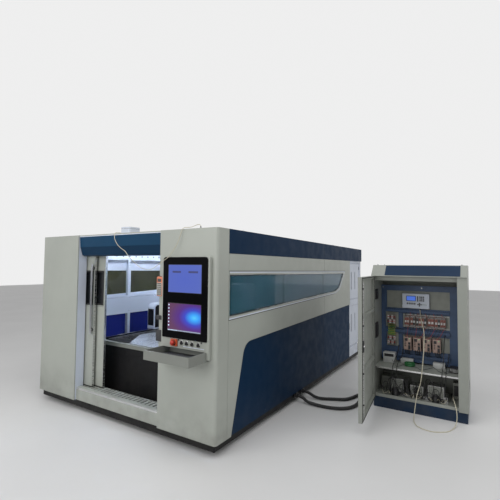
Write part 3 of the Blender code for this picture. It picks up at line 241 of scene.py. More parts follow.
class CutterSizes(PropertyGroup):
    lead_radius: length_property("Lead", "Radius of the signal lead", 0.003)
    flex_radius: length_property("Flex", "Radius of the controller lead", 0.0045)
    conduit_radius: length_property("Conduit", "Radius of a conduit", 0.02)
    ridge_pitch: length_property("Ridge", "Pitch of a conduit's ridges", 0.0065)
    key_rows: IntProperty(name="Key rows", description="Rows of keys on the keyboard", default=5, min=1)
    key_columns: IntProperty(name="Key columns", description="Keys in a row", default=15, min=1)


# Shapes


def place(x, y, z):
    """Machine coordinates to the frame's coordinates."""
    return Vector((x, y, z)) + SHIFT


def block(shape, x, y, z, rounding=0.0, segments=1):
    """Add a box between pairs of limits, with rounded edges where asked."""
    size = Vector((x[1] - x[0], y[1] - y[0], z[1] - z[0]))
    middle = place((x[0] + x[1]) / 2, (y[0] + y[1]) / 2, (z[0] + z[1]) / 2)
    matrix = Matrix.Translation(middle) @ Matrix.Diagonal((*size, 1.0))
    made = bmesh.ops.create_cube(shape, size=1.0, matrix=matrix)
    if rounding > 0.0:
        edges = list({edge for vert in made["verts"] for edge in vert.link_edges})
        bmesh.ops.bevel(
            shape, geom=edges, offset=rounding, offset_type="OFFSET", segments=segments, profile=0.5,
            affect="EDGES", clamp_overlap=True, material=-1,
        )


def rod(shape, start, end, radius, end_radius=None, segments=16):
    """Add a round bar or cone between two points in machine coordinates."""
    low = place(*start)
    high = place(*end)
    along = high - low
    turn = along.to_track_quat("Z", "Y").to_matrix().to_4x4()
    matrix = Matrix.Translation((low + high) / 2) @ turn
    bmesh.ops.create_cone(
        shape, cap_ends=True, segments=segments, radius1=radius,
        radius2=radius if end_radius is None else end_radius, depth=along.length, matrix=matrix,
    )


def lathe(shape, profile, centre, turns, direction=(0, 0, 1)):
    """Spin (radius, height) points about a line through centre along direction."""
    turn = Vector(direction).to_track_quat("Z", "Y").to_matrix().to_4x4()
    matrix = Matrix.Translation(place(*centre)) @ turn
    verts = [shape.verts.new(matrix @ Vector((radius, 0.0, height))) for radius, height in profile]
    edges = [shape.edges.new(pair) for pair in zip(verts, verts[1:])]
    bmesh.ops.spin(
        shape, geom=verts + edges, cent=matrix.translation, axis=(turn @ Vector((0, 0, 1))).xyz,
        angle=math.tau, steps=turns, use_merge=True, use_duplicate=False,
    )


def machine_point(axis, u, v, depth):
    """Machine coordinates of a point at a depth along an axis; u and v are its other two."""
    return {"X": (depth, u, v), "Y": (u, depth, v), "Z": (u, v, depth)}[axis]


def outline_point(axis, u, v, depth):
    return place(*machine_point(axis, u, v, depth))


def stud(shape, axis, span, u, v, *sizes):
    """Add a rod that runs along an axis; u and v are its other two coordinates."""
    start, end = (machine_point(axis, u, v, depth) for depth in span)
    rod(shape, start, end, *sizes)


def studs(shape, axis, span, us, vs, *sizes):
    """Add a stud at each crossing of two rows of coordinates."""
    for u in us:
        for v in vs:
            stud(shape, axis, span, u, v, *sizes)


def steps(start, pitch, count):
    return [start + index * pitch for index in range(count)]


def about(middle, half):
    return middle - half, middle + half


def proud(face, depth):
    """The span of a form that stands before a face which looks to the front."""
    return face - depth, face - FIT


def between(side, out, near, far):
    """The span from near to far beyond a side that looks along out, in rising order."""
    return sorted((side + out * near, side + out * far))


def slab(shape, outline, axis, low, high):
    """Add a flat form: an outline drawn out along an axis."""
    verts = [shape.verts.new(outline_point(axis, u, v, low)) for u, v in outline]
    face = shape.faces.new(verts)
    grown = bmesh.ops.extrude_face_region(shape, geom=[face])
    moved = [part for part in grown["geom"] if isinstance(part, bmesh.types.BMVert)]
    step = outline_point(axis, 0, 0, high) - outline_point(axis, 0, 0, low)
    bmesh.ops.translate(shape, vec=step, verts=moved)


def ring(shape, outer, inner, axis, low, high):
    """Add a closed band between two outlines with the same number of points."""
    loops = []
    for outline in (outer, inner):
        verts = [shape.verts.new(outline_point(axis, u, v, low)) for u, v in outline]
        loops += [shape.edges.new(pair) for pair in zip(verts, verts[1:] + verts[:1])]
    made = bmesh.ops.bridge_loops(shape, edges=loops)
    grown = bmesh.ops.extrude_face_region(shape, geom=made["faces"])
    moved = [part for part in grown["geom"] if isinstance(part, bmesh.types.BMVert)]
    step = outline_point(axis, 0, 0, high) - outline_point(axis, 0, 0, low)
    bmesh.ops.translate(shape, vec=step, verts=moved)


def rounded(outline, radii, steps=6):
    """The outline with an arc at each listed corner."""
    points = []
    for index, corner in enumerate(outline):
        radius = radii.get(index, 0.0)
        here = Vector(corner)
        if radius <= 0.0:
            points.append(tuple(here))
            continue
        before = (Vector(outline[index - 1]) - here).normalized()
        after = (Vector(outline[(index + 1) % len(outline)]) - here).normalized()
        half = before.angle(after) / 2
        reach = radius / math.tan(half)
        centre = here + (before + after).normalized() * (radius / math.sin(half))
        start = here + before * reach - centre
        turn = start.angle_signed(here + after * reach - centre)
        for step in range(steps + 1):
            arm = start.copy()
            arm.rotate(Matrix.Rotation(-turn * step / steps, 2))
            points.append(tuple(centre + arm))
    return points


def rectangle(u, v, radius=0.0, steps=5):
    """A rectangle's outline, anticlockwise, with rounded corners where asked."""
    corners = [(u[0], v[0]), (u[1], v[0]), (u[1], v[1]), (u[0], v[1])]
    return rounded(corners, dict.fromkeys(range(4), radius), steps)


def moved_outline(outline, distance):
    """The outline moved outward, or inward where distance is negative."""
    points = []
    for index, corner in enumerate(outline):
        here = Vector(corner)
        before = (here - Vector(outline[index - 1])).normalized()
        after = (Vector(outline[(index + 1) % len(outline)]) - here).normalized()
        first = Vector((before.y, -before.x))
        normal = (first + Vector((after.y, -after.x))).normalized()
        points.append(tuple(here + normal * distance / max(normal.dot(first), 0.3)))
    return points


def add_item(name, data, finish, body, slot):
    """Make an object of a mesh or curve, with a finish by name or a material of its own."""
    data.materials.append(FINISH[finish] if isinstance(finish, str) else finish)
    item = bpy.data.objects.new(name, data)
    bpy.context.scene.collection.objects.link(item)
    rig.ride(item, body)
    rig.slot(item, slot or FINISH_SLOT[finish])
    return item


def piece(name, shape, finish, body=ROOT, slot=None, replaces=(), smooth=True):
    """Turn a bmesh into a finished piece that rides on a body."""
    bmesh.ops.remove_doubles(shape, verts=shape.verts, dist=0.00001)
    bmesh.ops.recalc_face_normals(shape, faces=shape.faces)
    mesh = bpy.data.meshes.new(name)
    shape.to_mesh(mesh)
    shape.free()
    if smooth:
        mesh.shade_smooth()
        mesh.set_sharp_from_angle(angle=math.radians(35))
    item = add_item(name, mesh, finish, body, slot)
    if replaces:
        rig.replaces(item, *replaces)


WAITING = []


def shapes(body=ROOT, **finishes):
    """Empty bmeshes for pieces by name; one whose finish ends in flat isn't shaded smooth."""
    made = [bmesh.new() for _ in finishes]
    WAITING.extend(zip(finishes.items(), made, [body] * len(made)))
    return made


def settle():
    """Turn the waiting bmeshes into pieces and say that the operator has finished."""
    for (name, finish), shape, body in WAITING:
        key, _, shading = finish.partition(" ")
        piece(name, shape, key, body, smooth=shading != "flat")
    WAITING.clear()
    return {"FINISHED"}


# Finishes


class Recipe:
    """A node material in the making; its patterns read Object coordinates."""

    def __init__(self, name, material=None):
        self.material = material or bpy.data.materials.new(name)
        self.material.use_nodes = True
        tree = self.material.node_tree
        self.nodes, self.links = tree.nodes, tree.links
        self.inputs = tree.nodes["Principled BSDF"].inputs
        self.coordinates = tree.nodes.new("ShaderNodeTexCoord").outputs["Object"]

    def give(self, socket, value):
        """Link an output to a socket, or set the socket's own number or colour."""
        if isinstance(value, bpy.types.NodeSocket):
            self.links.new(value, socket)
        else:
            socket.default_value = (*value, 1.0) if socket.type == "RGBA" else value

    def node(self, kind, result, values, **settings):
        """Add a node with its settings and inputs, and return one of its outputs."""
        node = self.nodes.new(kind)
        for name, value in settings.items():
            setattr(node, name, value)
        for name, value in values.items():
            self.give(node.inputs[name], value)
        return node.outputs[result]

    def noise(self, scale, detail=3.0, stretch=None):
        """A noise texture; stretch scales it along the axes."""
        source = self.coordinates
        if stretch:
            source = self.node("ShaderNodeMapping", "Vector", {"Vector": source, "Scale": stretch})
        return self.node("ShaderNodeTexNoise", "Fac", {"Vector": source, "Scale": scale, "Detail": detail})

    def remap(self, value, low, high, from_low=0.35, from_high=0.65):
        limits = {"From Min": from_low, "From Max": from_high, "To Min": low, "To Max": high}
        return self.node("ShaderNodeMapRange", "Result", {"Value": value, **limits})

    def mix(self, factor, first, second):
        values = {"Factor": factor, "A": first, "B": second}
        return self.node("ShaderNodeMix", "Result", values, data_type="RGBA")

    def tones(self, colour, dark, light, scale, detail):
        """Clouds of a colour, from dark to light as factors of it."""
        cloud = self.remap(self.noise(scale, detail), 0.0, 1.0)
        return self.mix(cloud, shade(colour, dark), shade(colour, light))

    def calculate(self, operation, first, second):
        return self.node("ShaderNodeMath", "Value", {0: first, 1: second}, operation=operation)

    def axis(self, name):
        return self.node("ShaderNodeSeparateXYZ", name, {"Vector": self.coordinates})

    def bump(self, height, strength, distance=0.001):
        values = {"Strength": strength, "Distance": distance, "Height": height}
        self.give(self.inputs["Normal"], self.node("ShaderNodeBump", "Normal", values))

    def finish(self, values):
        """Set or link the shader's inputs and return the material."""
        for name, value in values.items():
            self.give(self.inputs[name], value)
        return self.material


def shade(colour, factor):
    return tuple(min(1.0, channel * factor) for channel in colour)


GRIME = (0.075, 0.068, 0.055)


def paint(name, colour, roughness=0.42, spread=0.05, grain=0.05, grime=0.25, grime_top=0.55, shine=0.5):
    """Sprayed paint: faint cloudiness, orange peel, and patches of a darker tone low down that fade out upwards."""
    make = Recipe(name)
    base = make.tones(colour, 1.0 - spread, 1.0 + spread, 1.6, 4.0)
    # Patches of a dark brown tone, strongest near the floor and fading out higher up.
    if grime > 0.0:
        low = make.remap(make.axis("Z"), 1.0, 0.0, 0.1, grime_top)
        patches = make.remap(make.noise(7.0, 6.0), 0.0, grime, 0.3, 0.7)
        base = make.mix(make.calculate("MULTIPLY", low, patches), base, GRIME)
    make.bump(make.noise(420.0, 2.0), grain)
    rough = make.remap(make.noise(9.0), roughness - 0.05, roughness + 0.08)
    return make.finish({"Base Color": base, "Roughness": rough, "Specular IOR Level": shine})


def metal(name, colour, roughness=0.32, stretch=(3.0, 420.0, 3.0)):
    """Ground or rolled metal with fine lines along its grain."""
    make = Recipe(name)
    lines = make.noise(1.0, 4.0, stretch)
    make.bump(lines, 0.05)
    rough = make.remap(lines, roughness - 0.08, roughness + 0.12)
    tone = make.tones(colour, 0.86, 1.08, 5.0, 5.0)
    return make.finish({"Base Color": tone, "Metallic": 1.0, "Roughness": rough})


def plastic(name, colour, roughness=0.42, grain=0.1):
    """Moulded plastic or rubber with a fine grain."""
    make = Recipe(name)
    fine = make.noise(900.0, 2.0)
    make.bump(fine, grain, 0.0004)
    rough = make.remap(fine, roughness - 0.04, roughness + 0.06)
    return make.finish({"Base Color": make.tones(colour, 0.92, 1.08, 12.0, 3.0), "Roughness": rough})


def tinted(name, colour, alpha):
    """Tinted window sheet: part see-through, with faint dust."""
    make = Recipe(name)
    dust = make.remap(make.noise(3.5, 6.0), 0.0, 1.0)
    tone = make.mix(dust, colour, shade(colour, 1.35))
    rough = make.remap(dust, 0.04, 0.09, 0.0, 1.0)
    return make.finish({"Base Color": tone, "Roughness": rough, "Alpha": alpha})


def dark_glass(name, colour):
    """Black glass that mirrors little of the room."""
    make = Recipe(name)
    smears = make.remap(make.noise(14.0, 4.0), 0.06, 0.16)
    tone = make.tones(colour, 0.8, 1.2, 3.0, 2.0)
    return make.finish({"Base Color": tone, "Roughness": smears, "Specular IOR Level": 0.06})


def glowing(name, colour, strength, dark=0.92, light=1.0, scale=6.0):
    """A cover or a patch of a screen that glows, a little unevenly."""
    make = Recipe(name)
    tone = make.tones(colour, dark, light, scale, 2.0)
    return make.finish({"Base Color": tone, "Emission Color": tone, "Emission Strength": strength})


FINISH = {}
FINISH_SLOT = {
    "bay_grey": "light", "black": "black", "brass": "steel", "bright": "steel", "conduit": "conduit",
    "display_blue": "screen", "door_skin_grey": "light", "drive_face": "parts", "drive_lamp": "parts",
    "interior": "white", "module_black": "black", "module_white": "white", "navy": "navy",
    "orange": "orange", "pale_lead": "beige", "plastic": "plastic", "plate_blue": "navy", "red": "red",
    "relay_red": "parts", "seam": "black", "steel": "steel", "switch_red": "red",
    "terminal_green": "parts", "terminal_yellow": "parts", "tray": "steel",
}
GEAR_COLOURS = {
    "plate_blue": (0.038, 0.075, 0.155, 0.42), "bay_grey": (0.26, 0.27, 0.24, 0.5),
    "relay_red": (0.17, 0.045, 0.032, 0.45), "drive_face": (0.36, 0.25, 0.21, 0.45),
    "module_black": (0.012, 0.012, 0.014, 0.45), "module_white": (0.5, 0.51, 0.5, 0.45),
    "terminal_green": (0.03, 0.17, 0.055, 0.45), "terminal_yellow": (0.42, 0.36, 0.045, 0.45),
    "switch_red": (0.42, 0.022, 0.016, 0.45), "door_skin_grey": (0.3, 0.315, 0.285, 0.5),
}


def prepare_finishes(look):
    """Make each finish once from the panel's colours."""
    FINISH.update({
        "panel": paint("panel_paint", look.panel, 0.4, 0.045, 0.05, 0.35, 0.5),
        # The panel grey darkened for the keyboard tray, which is lit less than the panels: painted shade. The bed's
        # front rim takes it too.
        "tray": paint("tray_shaded_paint", shade(look.panel, 0.55), 0.45),
        # The panel grey darkened for the electrical cabinet, its door and its shelf: painted shade.
        "cabinet": paint("cabinet_shaded_paint", shade(look.panel, 0.76), 0.42),
        "navy": paint("navy_paint", look.navy, 0.34, 0.12, 0.05, 0.3, 0.45, 0.2),
        "interior": paint("interior_paint", look.interior, 0.45, 0.05, 0.05, 0.2, 0.6),
        "black": paint("black_paint", look.black, 0.5, 0.2, 0.08, 0.15, 0.6, 0.2),
        "steel": metal("ground_steel", look.steel),
        "sheet": metal("rolled_sheet", look.sheet, 0.3, (260.0, 3.0, 3.0)),
        "window": tinted("window_tint", look.window, 0.7),
        "left_window": tinted("left_window_tint", (0.045, 0.045, 0.02), 0.9),
        "door_window": tinted("door_window_tint", look.door_window, 0.94),
        "screen": dark_glass("screen_glass", look.screen_glass),
        "orange": plastic("orange_plastic", look.orange, 0.42),
        "red": plastic("red_plastic", look.red, 0.3, 0.03),
        "plastic": plastic("dark_plastic", look.dark_plastic, 0.45),
        "pale_lead": plastic("pale_lead_cover", look.pale_lead, 0.5, 0.05),
        "conduit": plastic("conduit_plastic", look.conduit, 0.38, 0.05),
        "gear": plastic("control_gear", look.gear, 0.5),
        "bright": metal("bright_trim", (0.62, 0.62, 0.62), 0.22, (3.0, 3.0, 260.0)),
        "brass": metal("brass", (0.5, 0.33, 0.1), 0.3),
        "seam": plastic("seam_shadow", (0.012, 0.012, 0.012), 0.8),
        "display_blue": glowing("display_blue", (0.05, 0.12, 0.46), 0.9),
        "drive_lamp": glowing("drive_lamp_green", (0.1, 0.6, 0.2), 1.2),
    })
    for name, (red, green, blue, roughness) in GEAR_COLOURS.items():
        FINISH[name] = plastic(name, (red, green, blue), roughness, 0.05)


NODES_BY_FINISH = {
    "black": ["base_frame", "bed_frame", "gantry_beam", "z_slide"],
    "panel": [
        "front_left_column", "front_right_column", "sill_beam", "right_upper_panel", "left_upper_panel",
        "roof_panel", "rear_panel", "door_leaf_front", "door_leaf_rear", "console_housing",
    ],
    "navy": [
        "header_fascia", "right_lower_panel", "right_top_band", "left_lower_panel", "left_top_band",
        "cabinet_header_strip", "cabinet_plinth", "mounting_plate",
    ],
    "steel": ["door_track", "slat_grid", "cutting_head", "door_handle", "power_supply"],
    "window": ["right_window"],
    "interior": [
        "right_wall_frame", "left_wall_frame", "roof_box", "service_door_upper", "service_door_lower",
        "gantry_end_left", "gantry_end_right", "carriage_cover", "controller_display",
    ],
    "left_window": ["left_window"],
    "sheet": ["work_sheet"],
    "plastic": [
        "x_cable_chain", "selector_knob_1", "selector_knob_2", "selector_knob_3", "selector_knob_4",
    ],
    "door_window": ["door_window_front", "door_window_rear"],
    "screen": ["console_glass"],
    "tray": ["keyboard_tray"],
    "red": ["emergency_stop_button"],
    "orange": ["remote_pendant"],
    "cabinet": ["cabinet_body", "cabinet_door", "cabinet_shelf"],
    "gear": ["breaker_bank", "relay_bank", "drive_bank"],
}


def dress(node, material):
    """Give a solid from the frame its one material."""
    slots = frame["nodes"][node].data.materials
    slots.clear()
    slots.append(material)


class CUTTER_OT_finishes(Operator):
    """Make the finishes and put them on the solids"""

    bl_idname = "cutter.finishes"
    bl_label = "Finishes"

    def execute(self, context):
        prepare_finishes(context.scene.cutter_paint)
        for finish, names in NODES_BY_FINISH.items():
            for name in names:
                dress(name, FINISH[finish])
        return {"FINISHED"}


# Cords


def smooth_route(points, spacing):
    """Points along a smooth curve; the first and the last leg stay straight."""
    padded = [Vector(point) for point in points]
    route = padded[1:-1]
    dense = []
    for index in range(1, len(padded) - 2):
        p0, p1, p2, p3 = padded[index - 1:index + 3]
        for step in range(24):
            t = step / 24
            dense.append(
                0.5 * (2 * p1 + (p2 - p0) * t + (2 * p0 - 5 * p1 + 4 * p2 - p3) * t * t
                       + (3 * p1 - 3 * p2 + p3 - p0) * t ** 3)
            )
    dense.append(route[-1])
    lengths = [0.0]
    for first, second in zip(dense, dense[1:]):
        lengths.append(lengths[-1] + (second - first).length)
    count = max(8, round(lengths[-1] / spacing))
    picked = []
    spot = 0
    for step in range(count + 1):
        wanted = lengths[-1] * step / count
        while spot < len(lengths) - 2 and lengths[spot + 1] < wanted:
            spot += 1
        span = max(lengths[spot + 1] - lengths[spot], 1e-9)
        picked.append(dense[spot].lerp(dense[spot + 1], min(1.0, (wanted - lengths[spot]) / span)))
    return [padded[0]] + picked + [padded[-1]]


def round_curve(name, radius, resolution):
    data = bpy.data.curves.new(name, "CURVE")
    data.dimensions = "3D"
    data.bevel_depth = radius
    data.bevel_resolution = resolution
    data.use_fill_caps = True
    return data


def add_spline(data, points, spacing):
    """Add a smooth route to a curve and return its spline and the points that it follows."""
    path = [place(*point) for point in smooth_route(points, spacing)]
    spline = data.splines.new("POLY")
    spline.points.add(len(path) - 1)
    for point, spot in zip(spline.points, path):
        point.co = (*spot, 1.0)
    return spline, path


def cord_piece(name, points, radius, spacing, finish, ridged=False):
    """A free cord along its route; a ridged one swells and narrows along its length."""
    data = round_curve(f"{name}_cover", radius, 4)
    spline, path = add_spline(data, points, spacing)
    if ridged:
        for index, point in enumerate(spline.points):
            point.radius = 0.88 if index % 4 in (0, 1) else 1.0
    item = add_item(f"{name}_cover", data, finish, ROOT, None)
    length = sum((second - first).length for first, second in zip(path, path[1:]))
    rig.replaces(item, name)
    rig.cord(item, exit=path[0], length=length, diameter=radius * 2, far_end="object",
            stiffness="stiff" if ridged else "medium", lay="loose")
    return item


LEAD_SPACING = 0.008
LEAD_START = (-1.4597, 0.35, 2.08)
LEAD_END = (-0.3, 0.12, 2.0703)
LEAD_ROUTE = [
    LEAD_START, (-1.4397, 0.35, 2.08), (-1.4047, 0.325, 2.068), (-1.4, 0.24, 2.06),
    (-1.405, 0.12, 2.057), (-1.402, 0.03, 2.0575), (-1.399, 0.0, 2.054), (-1.397, -0.014, 2.038),
    (-1.386, -0.022, 1.985), (-1.33, -0.028, 1.92), (-1.262, -0.036, 1.88), (-1.186, -0.044, 1.846),
    (-1.128, -0.05, 1.797), (-1.045, -0.056, 1.742), (-0.946, -0.06, 1.687), (-0.866, -0.062, 1.663),
    (-0.796, -0.062, 1.657), (-0.73, -0.062, 1.677), (-0.668, -0.06, 1.714), (-0.606, -0.058, 1.748),
    (-0.545, -0.055, 1.785), (-0.49, -0.045, 1.852), (-0.455, -0.034, 1.915), (-0.434, -0.024, 1.977),
    (-0.422, -0.018, 2.022), (-0.412, -0.012, 2.05), (-0.4, 0.008, 2.064), (-0.37, 0.06, 2.072),
    (-0.322, 0.11, 2.1), (-0.3, 0.12, 2.088), LEAD_END,
]
FLEX_GROUND = 0.006
FLEX_ROUTE = [
    (1.32, 2.5175, 1.1857), (1.32, 2.5175, 1.1707), (1.326, 2.4875, 1.14), (1.35, 2.38, 1.06),
    (1.395, 2.24, 0.94), (1.41, 2.105, 0.78), (1.4, 2.07, 0.6), (1.38, 2.05, 0.4),
    (1.34, 2.03, 0.24), (1.325, 2.004, 0.12), (1.32, 1.955, 0.034), (1.324, 1.9, FLEX_GROUND + 0.004),
    (1.34, 1.84, FLEX_GROUND), (1.39, 1.74, FLEX_GROUND), (1.52, 1.69, FLEX_GROUND),
    (1.65, 1.76, FLEX_GROUND), (1.7, 1.85, FLEX_GROUND), (1.728, 1.935, 0.02), (1.74, 2.01, 0.065),
    (1.735, 2.06, 0.14),
    (1.715, 2.1, 0.215), (1.695, 2.2, 0.225), (1.69, 2.29, 0.215), (1.69, 2.33, 0.17),
    (1.69, 2.33, 0.1473),
]
BASE_GLAND_X = -0.0197
PORT_X = 0.8167
CONDUIT_ROUTES = {
    "floor_conduit_1": [
        (BASE_GLAND_X, 1.9, 0.085), (0.02, 1.9, 0.085), (0.08, 1.904, 0.066), (0.15, 1.915, 0.034),
        (0.23, 1.935, 0.022), (0.377, 2.005, 0.022), (0.49, 2.07, 0.022), (0.545, 2.17, 0.022),
        (0.58, 2.29, 0.022), (0.64, 2.38, 0.036), (0.705, 2.416, 0.064), (0.7817, 2.42, 0.075),
        (PORT_X, 2.42, 0.075),
    ],
    "floor_conduit_2": [
        (BASE_GLAND_X, 1.7, 0.085), (0.02, 1.7, 0.085), (0.08, 1.698, 0.066), (0.15, 1.69, 0.034),
        (0.31, 1.685, 0.022), (0.48, 1.71, 0.022), (0.61, 1.8, 0.022), (0.665, 1.95, 0.022),
        (0.665, 2.12, 0.022), (0.68, 2.23, 0.036), (0.725, 2.29, 0.064), (0.7817, 2.3, 0.075),
        (PORT_X, 2.3, 0.075),
    ],
}


class CUTTER_OT_cords(Operator):
    """Lay the signal lead, the controller lead and the floor conduits"""

    bl_idname = "cutter.cords"
    bl_label = "Cords"

    def execute(self, context):
        sizes = context.scene.cutter_sizes
        cord_piece("signal_lead", LEAD_ROUTE, sizes.lead_radius, LEAD_SPACING, "pale_lead")
        cord_piece("controller_lead", FLEX_ROUTE, sizes.flex_radius, LEAD_SPACING, "pale_lead")
        for name, route in CONDUIT_ROUTES.items():
            cord_piece(name, route, sizes.conduit_radius, sizes.ridge_pitch / 4, "conduit", True)
        return {"FINISHED"}


# Console


GLASS_FACE = -0.0443
HOUSING_FACE = -0.036
PLATE_FACE = -0.05
UPPER_SCREEN = ((-0.55, -0.147), (1.45, 1.707))
LOWER_SCREEN = ((-0.55, -0.147), (1.09, 1.345))
STOP_CENTRE = (-0.466, 0.98)
KNOB_SPOTS = [(-0.378, 0.988), (-0.317, 0.988), (-0.251, 0.988), (-0.178, 0.988)]


def screen_material(name, centre, reach, stops):
    """A lit screen: colours that change with the distance from a bright spot."""
    make = Recipe(name)
    spot = place(centre[0], GLASS_FACE, centre[1])
    moved = make.node("ShaderNodeMapping", "Vector", {
        "Vector": make.coordinates, "Location": (-spot.x / reach[0], 0.0, -spot.z / reach[1]),
        "Scale": (1.0 / reach[0], 0.0, 1.0 / reach[1]),
    })
    ramp = make.nodes.new("ShaderNodeValToRGB")
    while len(ramp.color_ramp.elements) < len(stops):
        ramp.color_ramp.elements.new(0.5)
    for element, (position, colour) in zip(ramp.color_ramp.elements, stops):
        element.position = position
        element.color = (*colour, 1.0)
    distance = make.node("ShaderNodeVectorMath", "Value", {0: moved}, operation="LENGTH")
    make.give(ramp.inputs["Fac"], distance)
    return make.finish({
        "Base Color": (0.01, 0.01, 0.012), "Emission Color": ramp.outputs["Color"], "Emission Strength": 1.0,
        "Roughness": 0.12, "Specular IOR Level": 0.06,
    })


class CUTTER_OT_screens(Operator):
    """Light the two screens behind the console's glass"""

    bl_idname = "cutter.screens"
    bl_label = "Screens"

    def execute(self, context):
        y = (GLASS_FACE - SKIN, GLASS_FACE - FIT)
        upper = screen_material(
            "upper_screen_picture", (-0.35, 1.58), (0.3, 0.2),
            [(0.0, (0.085, 0.13, 0.52)), (0.8, (0.095, 0.14, 0.5)), (1.0, (0.13, 0.17, 0.52))],
        )
        lower = screen_material(
            "lower_screen_picture", (-0.222, 1.225), (0.36, 0.21),
            [(0.0, (0.1, 0.6, 1.0)), (0.14, (0.045, 0.36, 0.95)), (0.32, (0.05, 0.07, 0.55)),
             (0.52, (0.095, 0.032, 0.24)), (0.85, (0.125, 0.05, 0.115))],
        )
        for name, (x, z), picture in (
            ("upper_screen", UPPER_SCREEN, upper), ("lower_screen", LOWER_SCREEN, lower),
        ):
            shape = bmesh.new()
            slab(shape, rectangle(x, z, 0.002, 2), "Y", *y)
            piece(name, shape, picture, slot="screen")
        shape = bmesh.new()
        marks = (GLASS_FACE - 2 * SKIN, GLASS_FACE - SKIN - FIT)
        for x in ((-0.498, -0.393), (-0.3, -0.187)):
            slab(shape, rectangle(x, (1.632, 1.65), 0.002, 2), "Y", *marks)
        blocks = glowing("screen_block", (0.018, 0.022, 0.1), 0.5, 0.95, 1.05, 30.0)
        piece("upper_screen_blocks", shape, blocks, slot="screen")
        shape = bmesh.new()
        slab(shape, rectangle((-0.549, -0.148), (1.0905, 1.0995)), "Y", *marks)
        bar = glowing("screen_bar", (0.22, 0.26, 0.34), 0.6, 0.95, 1.05, 30.0)
        piece("lower_screen_bar", shape, bar, slot="screen")
        shape = bmesh.new()
        for x in steps(-0.54, 0.017, 7):
            slab(shape, rectangle((x, x + 0.009), (1.092, 1.098), 0.001, 1), "Y",
                 marks[0] - 0.0004, marks[0] - 0.0001)
        for z in steps(1.323, -0.032, 7):
            slab(shape, rectangle((-0.543, -0.531), (z, z + 0.012), 0.002, 1), "Y", *marks)
        icons = glowing("screen_icon", (0.45, 0.6, 0.75), 0.7, 0.95, 1.05, 30.0)
        piece("lower_screen_icons", shape, icons, slot="screen")
        shape = bmesh.new()
        for x, z in (UPPER_SCREEN, LOWER_SCREEN):
            outer = moved_outline(rectangle(x, z, 0.004, 3), 0.005)
            ring(shape, outer, rectangle(x, z, 0.004, 3), "Y", GLASS_FACE - 0.0006, GLASS_FACE - FIT)
        piece("screen_edges", shape, "seam", slot="screen")
        return {"FINISHED"}


def holed_plate(shape, centre, width, height, hole, low, high, segments=32):
    """Add a rectangular plate with a round hole, facing along Y."""
    outer, inner = [], []
    for index in range(segments):
        angle = math.tau * (index + 0.5) / segments
        u, v = math.cos(angle), math.sin(angle)
        stretch = 1.0 / max(abs(u) / (width / 2), abs(v) / (height / 2))
        outer.append((centre[0] + u * stretch, centre[1] + v * stretch))
        inner.append((centre[0] + u * hole, centre[1] + v * hole))
    ring(shape, outer, inner, "Y", low, high)


class CUTTER_OT_controls(Operator):
    """Make the emergency stop, the selector knobs and the small switches"""

    bl_idname = "cutter.controls"
    bl_label = "Controls"

    def execute(self, context):
        shape = bmesh.new()
        holed_plate(shape, STOP_CENTRE, 0.077, 0.063, 0.016, PLATE_FACE - 0.0015, HOUSING_FACE - FIT)
        piece("stop_surround", shape, plastic("stop_surround_plastic", (0.6, 0.085, 0.025), 0.38), slot="red",
              smooth=False)
        x, z = STOP_CENTRE
        shape = bmesh.new()
        lathe(shape, [(0.0242, 0.0), (0.0275, 0.0), (0.0275, 0.0018), (0.0262, 0.0034), (0.0248, 0.0034),
                      (0.0242, 0.0026), (0.0242, 0.0)], (x, PLATE_FACE - 0.0018, z), 32, FRONTWARDS)
        piece("stop_collar", shape, "plastic")
        shape = bmesh.new()
        lathe(shape, [(0.0, 0.015), (0.0128, 0.015), (0.0128, -0.0085), (0.02, -0.0085), (0.0215, -0.01),
                      (0.022, -0.014), (0.0218, -0.021), (0.0205, -0.0255), (0.0165, -0.0288),
                      (0.009, -0.0304), (0.0, -0.0308)], (x, PLATE_FACE - 0.003, z), 40, (0, 1, 0))
        piece("stop_mushroom", shape, "red", "stop_button", replaces=["emergency_stop_button"])
        bezels = bmesh.new()
        for index, (x, z) in enumerate(KNOB_SPOTS):
            lathe(bezels, [(0.0163, 0.0), (0.0215, 0.0), (0.0222, 0.0012), (0.0222, 0.004), (0.0205, 0.0056),
                           (0.017, 0.0056), (0.0163, 0.0048), (0.0163, 0.0)],
                  (x, HOUSING_FACE - FIT, z), 40, FRONTWARDS)
            shape = bmesh.new()
            lathe(shape, [(0.0, 0.0005), (0.0155, 0.0005), (0.0158, 0.002), (0.0158, 0.009), (0.0146, 0.011),
                          (0.0, 0.0112)], (x, HOUSING_FACE, z), 36, FRONTWARDS)
            block(shape, about(x, 0.0048), (HOUSING_FACE - 0.0215, HOUSING_FACE - 0.01),
                  about(z, 0.0142), 0.002, 3)
            body = f"knob_{index + 1}"
            piece(f"selector_{index + 1}", shape, "plastic", body, replaces=[f"selector_knob_{index + 1}"])
            mark = bmesh.new()
            block(mark, about(x, 0.001), (HOUSING_FACE - 0.022, HOUSING_FACE - 0.0212),
                  (z + 0.003, z + 0.013))
            white = plastic(f"selector_mark_{index + 1}_white", (0.7, 0.7, 0.68))
            piece(f"selector_mark_{index + 1}", mark, white, body, slot="white", smooth=False)
        piece("selector_bezels", bezels, "bright")
        # A thin ledge below the knobs in pale paint for the bright line along it: a real ledge, its paleness a painted
        # highlight.
        shape = bmesh.new()
        slab(shape, rectangle((-0.36, -0.11), (0.9505, 0.9585), 0.003, 3), "Y", HOUSING_FACE - 0.0014,
             HOUSING_FACE - FIT)
        piece("ledge_highlight_strip", shape, "interior")
        shape = bmesh.new()
        for x in (-0.414, -0.143):
            lathe(shape, [(0.0, 0.0), (0.008, 0.0), (0.0085, 0.001), (0.007, 0.003), (0.0, 0.0034)],
                  (x, HOUSING_FACE - FIT, 1.008), 24, FRONTWARDS)
        piece("console_pilot_buttons", shape, "plastic")
        return {"FINISHED"}


